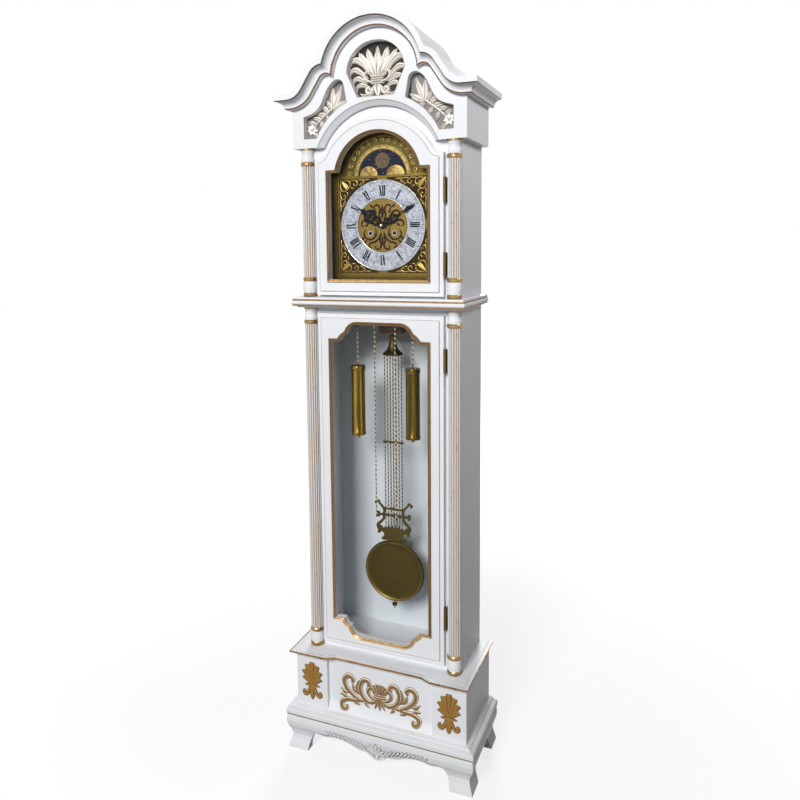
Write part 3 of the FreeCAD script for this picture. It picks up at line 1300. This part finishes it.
ARBORS = arbors()
PIVOT_Z = ARBORS["pallets"][1]
INNER_BACK = BACK_PLATE
INNER_FRONT = FRONT_PLATE - PLATE_T
GREAT_DEPTH = INNER_FRONT - 3.6 * WHEEL_T
STRIKE_DEPTH = GREAT_DEPTH - 1.7 * WHEEL_T
CENTRE_WHEEL_DEPTH = STRIKE_DEPTH - 1.7 * WHEEL_T
THIRD_DEPTH = INNER_FRONT - 1.3 * WHEEL_T
DRUM_BACK = INNER_BACK + 2 * WHEEL_T
ESCAPE_DEPTH = INNER_BACK + 5 * WHEEL_T
MOTION = (0.0, DIAL_CENTRE_Z - MOTION_DISTANCE)
MOTION_DEPTH = FRONT_PLATE + 0.75 * WHEEL_T
HOUR_DEPTH = MOTION_DEPTH + 1.75 * WHEEL_T
CANNON_R = MOTION_DISTANCE * CANNON_TEETH / (CANNON_TEETH + MINUTE_WHEEL_TEETH)
HOUR_R = MOTION_DISTANCE * HOUR_TEETH / (HOUR_TEETH + MINUTE_PINION)


def movement_plates():
    """The two brass plates, their pillars, the dial feet and the motion-work stud."""
    top = DIAL_CENTRE_Z + PLATE_TOP_UP
    holes = [(ARBORS["centre"], ARBOR_R), (ARBORS["time"], WIND_R), (ARBORS["strike"], WIND_R),
             (ARBORS["third"], PIVOT_R), (ARBORS["escape"], PIVOT_R), (ARBORS["pallets"], PIVOT_R),
             ((HAMMER_X, HAMMER_Z), PIVOT_R)]
    pieces = []
    for start in (INNER_FRONT, BACK_PLATE - PLATE_T):
        plate = box(-PLATE_HALF, PLATE_HALF, start, start + PLATE_T, SEAT_TOP, top)
        for (x, z), radius in holes:
            plate = plate.cut(rod(radius + RUN_GAP, x, z, start - CUT_OVERRUN, start + PLATE_T + CUT_OVERRUN))
        pieces.append(plate)
    corner_x = PLATE_HALF - PILLAR_IN
    for x in (-corner_x, corner_x):
        for z in (SEAT_TOP + PILLAR_IN, top - PILLAR_IN):
            pieces.append(rod(PILLAR_R, x, z, BACK_PLATE, INNER_FRONT))
            pieces.append(rod(DIAL_FOOT_R, x, z, FRONT_PLATE, DIAL_BACK))
    stud_end = HOUR_DEPTH + WHEEL_T
    pieces.append(rod(PIVOT_R, MOTION[0], MOTION[1], FRONT_PLATE, stud_end))
    return pieces + suspension_cock()


def centre_wheel():
    """The centre arbor with its wheel, its pinion and the cannon pinion in front of the plate."""
    x, z = ARBORS["centre"]
    arbor = rod(ARBOR_R, x, z, BACK_PLATE - PLATE_T, DIAL_FRONT + MINUTE_HAND_UP + HAND_T)
    big = wheel(CENTRE_TEETH, ARBORS["centre_wheel_r"], x, z, CENTRE_WHEEL_DEPTH,
                CENTRE_WHEEL_DEPTH + WHEEL_T, 0, facing(ARBORS["centre"], ARBORS["third"]))
    small = wheel(CENTRE_PINION, ARBORS["centre_pinion_r"], x, z, GREAT_DEPTH - RUN_GAP,
                  GREAT_DEPTH + WHEEL_T + RUN_GAP, 0,
                  facing(ARBORS["centre"], ARBORS["time"]) + 180 / CENTRE_PINION)
    cannon = wheel(CANNON_TEETH, CANNON_R, x, z, MOTION_DEPTH - RUN_GAP, MOTION_DEPTH + WHEEL_T, 0,
                   facing(ARBORS["centre"], MOTION))
    return [joined([arbor, big, small, cannon])]


def minute_wheel():
    """The motion wheel and its pinion, on the stud below the centre."""
    x, z = MOTION
    big = wheel(MINUTE_WHEEL_TEETH, MOTION_DISTANCE - CANNON_R, x, z, MOTION_DEPTH, MOTION_DEPTH + WHEEL_T,
                PIVOT_R + RUN_GAP, facing(MOTION, ARBORS["centre"]) + 180 / MINUTE_WHEEL_TEETH)
    small = wheel(MINUTE_PINION, MOTION_DISTANCE - HOUR_R, x, z, MOTION_DEPTH + WHEEL_T, HOUR_DEPTH + WHEEL_T,
                  PIVOT_R + RUN_GAP, facing(MOTION, ARBORS["centre"]))
    return [joined([big, small])]


def hour_wheel():
    """The hour wheel and the pipe that carries the hour hand."""
    x, z = ARBORS["centre"]
    big = wheel(HOUR_TEETH, HOUR_R, x, z, HOUR_DEPTH, HOUR_DEPTH + WHEEL_T, ARBOR_R + RUN_GAP,
                facing(ARBORS["centre"], MOTION) + 180 / HOUR_TEETH)
    pipe = rod(PIPE_R, x, z, HOUR_DEPTH, DIAL_FRONT + HOUR_HAND_UP + HAND_T)
    pipe = pipe.cut(rod(ARBOR_R + RUN_GAP, x, z, 0, DEPTH))
    return [joined([big, pipe])]


def barrel(place, depth, phase):
    """A spring barrel: a drum, a hub and a great wheel, bored for its winding arbor."""
    x, z = place
    drum = rod(DRUM_R, x, z, DRUM_BACK, DRUM_BACK + DRUM_L)
    hub = rod(HUB_R, x, z, DRUM_BACK, depth + WHEEL_T)
    great = wheel(GREAT_TEETH, ARBORS["great_r"], x, z, depth, depth + WHEEL_T, 0, phase)
    return joined([drum, hub, great]).cut(rod(WIND_R + RUN_GAP, x, z, 0, DEPTH))


def time_barrel():
    """The spring barrel that drives the hands."""
    return [barrel(ARBORS["time"], GREAT_DEPTH, facing(ARBORS["time"], ARBORS["centre"]))]


def strike_barrel():
    """The spring barrel that drives the strike."""
    return [barrel(ARBORS["strike"], STRIKE_DEPTH, 0)]


def winding_arbor(place):
    """A winding arbor with a square end for the key."""
    x, z = place
    tip = DIAL_FRONT + WIND_OUT
    arbor = rod(WIND_R, x, z, BACK_PLATE - PLATE_T, DIAL_BACK)
    half = WIND_SQUARE / 2
    return joined([arbor, box(x - half, x + half, DIAL_BACK, tip, z - half, z + half)])


def time_arbor():
    """The winding arbor of the going side."""
    return [winding_arbor(ARBORS["time"])]


def strike_arbor():
    """The winding arbor of the strike side."""
    return [winding_arbor(ARBORS["strike"])]


def third_wheel():
    """The third wheel, between the centre wheel and the escape wheel."""
    x, z = ARBORS["third"]
    arbor = rod(PIVOT_R, x, z, BACK_PLATE - PLATE_T, FRONT_PLATE)
    small = wheel(TRAIN_PINION, ARBORS["train_pinion_r"], x, z, CENTRE_WHEEL_DEPTH - RUN_GAP,
                  CENTRE_WHEEL_DEPTH + WHEEL_T + RUN_GAP, 0,
                  facing(ARBORS["third"], ARBORS["centre"]) + 180 / TRAIN_PINION)
    big = wheel(THIRD_TEETH, ARBORS["third_wheel_r"], x, z, THIRD_DEPTH, THIRD_DEPTH + WHEEL_T / 2, 0,
                facing(ARBORS["third"], ARBORS["escape"]))
    return [joined([arbor, small, big])]


def escape_wheel():
    """The escape wheel with its pointed teeth and its pinion."""
    x, z = ARBORS["escape"]
    arbor = rod(PIVOT_R, x, z, BACK_PLATE - PLATE_T, FRONT_PLATE)
    pitch = 2 * math.pi / ESCAPE_TEETH
    points = []
    for i in range(ESCAPE_TEETH):
        for radius, share in ((ESCAPE_R, 0.0), (0.82 * ESCAPE_R, 0.12), (0.82 * ESCAPE_R, 0.8)):
            turn = (i + share) * pitch
            points.append((x + radius * math.cos(turn), z + radius * math.sin(turn)))
    toothed = slab(polygon(points), ESCAPE_DEPTH, ESCAPE_DEPTH + WHEEL_T / 2)
    small = wheel(TRAIN_PINION, ARBORS["escape_pinion_r"], x, z, THIRD_DEPTH - RUN_GAP,
                  THIRD_DEPTH + WHEEL_T / 2 + RUN_GAP, 0,
                  facing(ARBORS["escape"], ARBORS["third"]) + 180 / TRAIN_PINION)
    return [joined([arbor, toothed, small])]


def anchor():
    """The anchor on the pallet arbor and the crutch that reaches back to the pendulum rod."""
    x, z = ARBORS["pallets"]
    fork_low = z - 0.9 * (z - DIAL_CENTRE_Z)
    crutch_front = BACK_PLATE - PLATE_T - 2 * WHEEL_T
    arbor = rod(PIVOT_R, x, z, crutch_front - WHEEL_T, FRONT_PLATE)
    reach = (ESCAPE_R + PALLET_CLEAR) * math.sqrt(0.5)
    escape_z = ARBORS["escape"][1]
    tip_z = escape_z + reach
    arms = []
    for side in (-1, 1):
        arms.append(slab(polygon([(0, z + PALLET_W), (side * (reach + PALLET_W), tip_z + PALLET_W),
                                  (side * (reach + PALLET_W), tip_z), (side * reach, tip_z),
                                  (0, z - PALLET_W)]), ESCAPE_DEPTH, ESCAPE_DEPTH + WHEEL_T / 2))
    arm = box(-PIVOT_R, PIVOT_R, crutch_front - WHEEL_T, crutch_front, fork_low, z)
    fork_half = ROD_W
    fork = box(-fork_half, fork_half, SWING_DEPTH - 2 * ROD_T, crutch_front, fork_low - PALLET_W, fork_low)
    slot_half = ROD_W / 2 + SEAT_GAP
    fork = fork.cut(box(-slot_half, slot_half, 0, SWING_DEPTH + ROD_T / 2 + SEAT_GAP, 0, HOLLOW_Z))
    return [joined([arbor] + arms + [arm, fork])]


def suspension_cock():
    """The bracket behind the back plate that holds the suspension spring."""
    top = PIVOT_Z + SPRING_W
    plate_back = BACK_PLATE - PLATE_T
    flange = box(-2.5 * ROD_W, 2.5 * ROD_W, plate_back - WHEEL_T, plate_back,
                 PIVOT_Z - 2 * SPRING_W, top + SPRING_W)
    flange = flange.cut(rod(2 * PIVOT_R, 0, PIVOT_Z, 0, DEPTH))
    arm = box(-1.5 * ROD_W, 1.5 * ROD_W, SWING_DEPTH - SPRING_W, plate_back - WHEEL_T,
              PIVOT_Z + SPRING_W / 2, top)
    return [joined([flange, arm])]


def pendulum_rod():
    """The suspension spring with its lower block, and the flat rod down to the canopy."""
    spring_top = PIVOT_Z + SPRING_W / 2 - SEAT_GAP
    half_t, half_w = SPRING_T / 2, SPRING_W / 2
    spring_low = PIVOT_Z - SPRING_L
    spring = box(-half_t, half_t, SWING_DEPTH - half_w, SWING_DEPTH + half_w, spring_low, spring_top)
    clamp = box(-ROD_T, ROD_T, SWING_DEPTH - half_w, SWING_DEPTH + half_w / 2,
                spring_low - SPRING_W, spring_low)
    bar = box(-ROD_W / 2, ROD_W / 2, SWING_DEPTH - ROD_T / 2, SWING_DEPTH + ROD_T / 2, CANOPY_Z + CANOPY_H,
              spring_low - SPRING_W)
    return [joined([spring, clamp, bar])]


def pendulum_canopy():
    """The flared hood at the top of the twisted rods."""
    flare_shares = [(0.62, 0.22), (0.4, 0.42), (0.26, 0.7)]
    profile = [(CANOPY_R, CANOPY_Z), (CANOPY_R, CANOPY_Z + CANOPY_LIP),
               (CANOPY_R - CANOPY_LIP, CANOPY_Z + 2 * CANOPY_LIP)]
    profile += scaled(flare_shares, CANOPY_R, CANOPY_H, z=CANOPY_Z)
    profile.append((CANOPY_TOP_R, CANOPY_Z + CANOPY_H))
    return turned(profile, 0, SWING_DEPTH)


def twist_places():
    """The x of each twisted rod."""
    middle = (TWIST_COUNT - 1) / 2
    return [(i - middle) * TWIST_PITCH for i in range(TWIST_COUNT)]


def pendulum_rods():
    """The twisted rods from the canopy to the lyre, and the bridge that ties them."""
    low = LYRE_TOP_Z - 0.69 * (LYRE_TOP_Z - LYRE_BOTTOM_Z)
    rods = [post(TWIST_R, x, SWING_DEPTH, low, CANOPY_Z) for x in twist_places()]
    half_t = PEND_PLATE_T / 2 + TWIST_R / 2
    bridge = box(-BRIDGE_HALF, BRIDGE_HALF, SWING_DEPTH - half_t, SWING_DEPTH + half_t,
                 BRIDGE_Z - BRIDGE_H / 2, BRIDGE_Z + BRIDGE_H / 2)
    return [joined(rods + [bridge])]


def pendulum_lyre():
    """The lyre frame with curled horns, its two cross bars and the crowned plate over the bob."""
    front, back = SWING_DEPTH + TWIST_R + PEND_PLATE_T, SWING_DEPTH + TWIST_R
    tall = LYRE_TOP_Z - LYRE_BOTTOM_Z
    arm_shares = [(1.0, 0.98), (0.86, 1.0), (0.66, 0.89), (0.57, 0.76), (0.66, 0.66), (0.62, 0.51),
                  (0.83, 0.39), (0.98, 0.3), (0.9, 0.16), (0.62, 0.03)]
    ball_shares = [(1.0, 0.98), (0.86, 0.7), (0.86, 0.62), (0.9, 0.14)]
    pieces = []
    for side in (-1, 1):
        points = [(side * x * LYRE_HALF, LYRE_BOTTOM_Z + z * tall) for x, z in arm_shares]
        pieces.append(ribbon(points, [LYRE_BAR] * 24, back, front))
        for x, z in ball_shares:
            pieces.append(rod(0.8 * LYRE_BAR, side * x * LYRE_HALF, LYRE_BOTTOM_Z + z * tall, back, front))
        pieces.append(box(min(0, side * 0.86 * LYRE_HALF), max(0, side * 0.86 * LYRE_HALF), back, front,
                          LYRE_BOTTOM_Z + 0.64 * tall, LYRE_BOTTOM_Z + 0.68 * tall))
    pieces.append(box(-0.66 * LYRE_HALF, 0.66 * LYRE_HALF, back, front, LYRE_BOTTOM_Z + 0.84 * tall,
                      LYRE_BOTTOM_Z + 0.87 * tall))
    crown_shares = [(-0.6, 0.0), (0.6, 0.0), (0.64, 0.1), (0.95, 0.2), (0.8, 0.31), (0.52, 0.33),
                    (0.42, 0.25), (0.2, 0.24), (0.1, 0.31), (0, 0.25), (-0.1, 0.31), (-0.2, 0.24),
                    (-0.42, 0.25), (-0.52, 0.33), (-0.8, 0.31), (-0.95, 0.2), (-0.64, 0.1)]
    crown = scaled(crown_shares, LYRE_HALF, tall, z=LYRE_BOTTOM_Z)
    pieces.append(slab(polygon(crown), back, front))
    pieces.append(post(2 * TWIST_R, 0, SWING_DEPTH, BOB_Z + BOB_R + SEAT_GAP, LYRE_BOTTOM_Z + 0.2 * tall))
    return [joined(pieces), pendulum_canopy()]


def pendulum_bob():
    """The bob: a shallow disc with a rim and a domed front, and the threaded rod below it."""
    half = BOB_T / 2
    inner = BOB_R - BOB_RIM
    profile = [(0.0, -half), (inner, -half / 2), (BOB_R, -half / 3), (BOB_R, half / 3), (inner, half / 2),
               (0.0, half)]
    points = [V(r, at(SWING_DEPTH) - d, BOB_Z) for r, d in profile]
    disc = Part.Face(Part.makePolygon(points + [points[0]])).revolve(V(0, 0, BOB_Z), V(0, 1, 0), 360)
    screw = post(RATING_ROD_R, 0, SWING_DEPTH, RATING_TIP_Z, BOB_Z - BOB_R + BOB_RIM)
    return [joined([disc, screw])]


def rating_nut():
    """The knurled nut that raises and lowers the bob."""
    nut = post(RATING_NUT_R, 0, SWING_DEPTH, RATING_NUT_Z, RATING_NUT_Z + RATING_NUT_H)
    bore = post(RATING_ROD_R + RUN_GAP, 0, SWING_DEPTH, RATING_NUT_Z - CUT_OVERRUN, RATING_NUT_Z + DEPTH)
    return [nut.cut(bore)]


def chain_link():
    """One flat link about the origin, upright, in the plane that faces the front."""
    in_x, in_z = LINK_INSIDE / 2, (LINK_PITCH + LINK_GAP) / 2
    out_x, out_z = in_x + LINK_WIRE, in_z + LINK_WIRE
    cut_x, cut_z = out_x / 2, in_z - LINK_WIRE / 2
    corners = [(out_x, cut_z), (cut_x, out_z), (-cut_x, out_z), (-out_x, cut_z), (-out_x, -cut_z),
               (-cut_x, -out_z), (cut_x, -out_z), (out_x, -cut_z)]
    link = slab(polygon(corners), BACK_Y - LINK_WIRE / 2, BACK_Y + LINK_WIRE / 2)
    return link.cut(box(-in_x, in_x, 0, DEPTH, -in_z, in_z))


def chain(x, top, count):
    """A run of links that hangs from a height, each turned a quarter from the last."""
    pattern = chain_link()
    links = []
    for i in range(count):
        link = pattern.copy()
        if i % 2 == 1:
            link.rotate(V(0, 0, 0), V(0, 0, 1), 90)
        link.translate(V(x, at(HANG_DEPTH), top - (i + 0.5) * LINK_PITCH))
        links.append(link)
    return links


HOOK_Z = SEAT_TOP - SEAT_T - HOOK_DROP
CHAIN_TOP = HOOK_Z + LINK_WIRE / 2 + LINK_GAP / 2
WEIGHT_TOP = WEIGHT_Z + WEIGHT_L


def odd_links(run):
    """How many links fit in a length, as an odd number, so that both end links face the front."""
    return 2 * int((run / LINK_PITCH - 1) / 2) + 1


WEIGHT_LINKS = odd_links(CHAIN_TOP - WEIGHT_TOP - 2 * LINK_PITCH)
FREE_LINKS = odd_links(CHAIN_TOP - CHAIN_END_Z)


def end_pin_z(count):
    """The height of the pin that the last of so many links holds."""
    return CHAIN_TOP - count * LINK_PITCH + (LINK_WIRE + LINK_GAP) / 2


def shackle(x, pin_z, base_z):
    """A pin from front to back between two lugs that run to a base level."""
    inside, outside = LINK_WIRE / 2 + LINK_GAP, 3 * LINK_WIRE / 2 + LINK_GAP
    reach = math.copysign(LINK_WIRE, pin_z - base_z)
    low, high = sorted((pin_z + reach, base_z))
    pieces = [rod(LINK_WIRE / 2, x, pin_z, HANG_DEPTH - outside, HANG_DEPTH + outside)]
    for start in (HANG_DEPTH + inside, HANG_DEPTH - outside):
        pieces.append(box(x - LINK_WIRE, x + LINK_WIRE, start, start + LINK_WIRE, low, high))
    return joined(pieces)


def chain_hooks():
    """The four shackles under the seat board, which the chains hang from."""
    return [shackle(x, HOOK_Z, SEAT_TOP - SEAT_T) for x in (-WEIGHT_X, -CHAIN_X, CHAIN_X, WEIGHT_X)]


def weight(x):
    """A brass shell with its rims, filling, nut and shackle."""
    low, high = WEIGHT_Z, WEIGHT_TOP
    shell_low, shell_high = low + WEIGHT_RIM_H, high - WEIGHT_RIM_H
    tube = post(WEIGHT_R, x, HANG_DEPTH, shell_low, shell_high)
    core = post(WEIGHT_R - WEIGHT_WALL, x, HANG_DEPTH, shell_low, shell_high)
    foot = post(WEIGHT_RIM_R, x, HANG_DEPTH, low, shell_low)
    head = post(WEIGHT_RIM_R, x, HANG_DEPTH, shell_high, high)
    nut = post(WEIGHT_RIM_H / 2, x, HANG_DEPTH, low - WEIGHT_RIM_H, low)
    return [tube.cut(core), core, foot, head, nut, shackle(x, end_pin_z(WEIGHT_LINKS), high)]


def weight_left():
    """The left weight."""
    return weight(-WEIGHT_X)


def weight_right():
    """The right weight."""
    return weight(WEIGHT_X)


def weight_chain_left():
    """The chain that the left weight hangs on."""
    return chain(-WEIGHT_X, CHAIN_TOP, WEIGHT_LINKS)


def weight_chain_right():
    """The chain that the right weight hangs on."""
    return chain(WEIGHT_X, CHAIN_TOP, WEIGHT_LINKS)


def free_chain(x):
    """A free chain with a shackle and a small plug at its end."""
    pin_z = end_pin_z(FREE_LINKS)
    low = pin_z - LINK_PITCH
    plug = post(3 * LINK_WIRE / 2 + LINK_GAP, x, HANG_DEPTH, low - LINK_PITCH, low)
    return chain(x, CHAIN_TOP, FREE_LINKS) + [joined([shackle(x, pin_z, low), plug])]


def free_chain_left():
    """The left free chain."""
    return free_chain(-CHAIN_X)


def free_chain_right():
    """The right free chain."""
    return free_chain(CHAIN_X)


def seat_board():
    """The board that carries the movement and the hooks, and its two cleats."""
    board = box(-INSIDE_HALF, INSIDE_HALF, SEAT_BACK, SEAT_FRONT, SEAT_TOP - SEAT_T, SEAT_TOP)
    slot = box(-SEAT_SLOT_HALF, SEAT_SLOT_HALF, SWING_DEPTH - SLOT_DEPTH / 2, SWING_DEPTH + SLOT_DEPTH / 2, 0,
               HOLLOW_Z)
    low = SEAT_TOP - SEAT_T
    cleat = box(INSIDE_HALF - CLEAT_W, INSIDE_HALF, SEAT_BACK, SEAT_FRONT, low - CLEAT_H, low)
    return [board.cut(slot), cleat, mirror_x(cleat)] + guide_rail()


def guide_rail():
    """The cross rail with the slotted block that keeps the pendulum rod in line."""
    back, front = SWING_DEPTH - RAIL_DEPTH / 2, SWING_DEPTH + RAIL_DEPTH / 2
    rail = box(-INSIDE_HALF, INSIDE_HALF, back, front, RAIL_Z, RAIL_Z + RAIL_T)
    block = box(-GUIDE_HALF, GUIDE_HALF, back, front, RAIL_Z - GUIDE_H, RAIL_Z)
    slot = box(-GUIDE_SLOT_HALF, GUIDE_SLOT_HALF, SWING_DEPTH - SLOT_DEPTH / 2,
               SWING_DEPTH + SLOT_DEPTH / 2, 0, HOLLOW_Z)
    return [rail.cut(slot), block.cut(slot)]


def gong():
    """The coiled gong and the block that holds it to the back panel."""
    edges = []
    radius, centre, sign = GONG_R, GONG_X, 1
    for _ in range(2 * GONG_TURNS):
        start, end = centre + sign * radius, centre - sign * radius
        crown = V(centre, at(GONG_DEPTH), GONG_Z + sign * radius)
        edges.append(Part.Arc(V(start, at(GONG_DEPTH), GONG_Z), crown,
                              V(end, at(GONG_DEPTH), GONG_Z)).toShape())
        smaller = radius - GONG_PITCH / 2
        centre = end + sign * smaller
        radius, sign = smaller, -sign
    path = Part.Wire(edges)
    ring = Part.Wire(Part.makeCircle(GONG_WIRE_R, V(GONG_X + GONG_R, at(GONG_DEPTH), GONG_Z), V(0, 0, 1)))
    coil = path.makePipeShell([ring], True, False)
    x, z = GONG_X + GONG_R, GONG_Z
    block = box(x - GONG_BLOCK_W / 2, x + GONG_BLOCK_W / 2, BACK_T, GONG_DEPTH + GONG_WIRE_R * 2,
                z - GONG_BLOCK_H, z)
    return [coil, block]


def hammer():
    """The strike hammer on its arbor, which hangs beside the gong."""
    x, z = HAMMER_X, HAMMER_Z
    arm_back = GONG_DEPTH - HAMMER_ARM / 2
    arbor = rod(PIVOT_R, x, z, arm_back, FRONT_PLATE)
    arm = box(x - HAMMER_ARM / 2, x + HAMMER_ARM / 2, arm_back, arm_back + HAMMER_ARM, GONG_Z, z + HAMMER_ARM)
    face_x = GONG_X - GONG_R - GONG_WIRE_R - HAMMER_GAP
    head = Part.makeCylinder(HAMMER_R, HAMMER_L, V(face_x - HAMMER_L, at(GONG_DEPTH), GONG_Z), V(1, 0, 0))
    return [joined([arbor, arm, head])]


def bound(shapes):
    """Bind the solids of a node into one compound."""
    solids = [solid for shape in shapes for solid in shape.Solids]
    return Part.makeCompound(solids)


def upper_door_frame():
    """The frame of the upper door."""
    return [door_frame(upper_field, upper_opening)]


def lower_door_frame():
    """The frame of the lower door."""
    return [door_frame(lower_field, lower_opening)]


def upper_door_glass():
    """The pane of the upper door."""
    return [door_glass(upper_opening)]


def lower_door_glass():
    """The pane of the lower door."""
    return [door_glass(lower_opening)]


def upper_door_leaves():
    """The hinge leaves of the upper door."""
    return door_leaves(hinge_heights()[0])


def lower_door_leaves():
    """The hinge leaves of the lower door."""
    return door_leaves(hinge_heights()[1])


NODES = [
    bracket_feet, apron_carving, base_moulding, base_boards, base_panel, corner_blocks, base_carvings,
    ledge_board, side_panels, back_panel, face_frame, waist_moulding, columns, column_rings, frieze_boards,
    frieze_carvings, fret_cloth, cornice, roof_board, dial_mask, seat_board, case_leaves,
    upper_door_frame, upper_door_glass, upper_door_leaves,
    lower_door_frame, lower_door_glass, lower_door_leaves,
    dial_plate, chapter_ring, centre_disc, dial_mounts, moon_disc, hour_hand, minute_hand,
    movement_plates, centre_wheel, minute_wheel, hour_wheel, time_barrel, time_arbor,
    strike_barrel, strike_arbor, third_wheel, escape_wheel, anchor, gong, hammer,
    pendulum_rod, pendulum_rods, pendulum_lyre, pendulum_bob, rating_nut,
    chain_hooks, weight_left, weight_right, weight_chain_left, weight_chain_right,
    free_chain_left, free_chain_right,
]


def main():
    """Make every node and write its file."""
    os.makedirs("parts", exist_ok=True)
    for make in NODES:
        shape = bound(make())
        shape.exportStep("parts/" + make.__name__ + ".step")
        faults = [i for i, solid in enumerate(shape.Solids) if not solid.isValid() or solid.Volume <= 0]
        print(make.__name__, len(shape.Solids), faults, round(shape.Volume))


main()
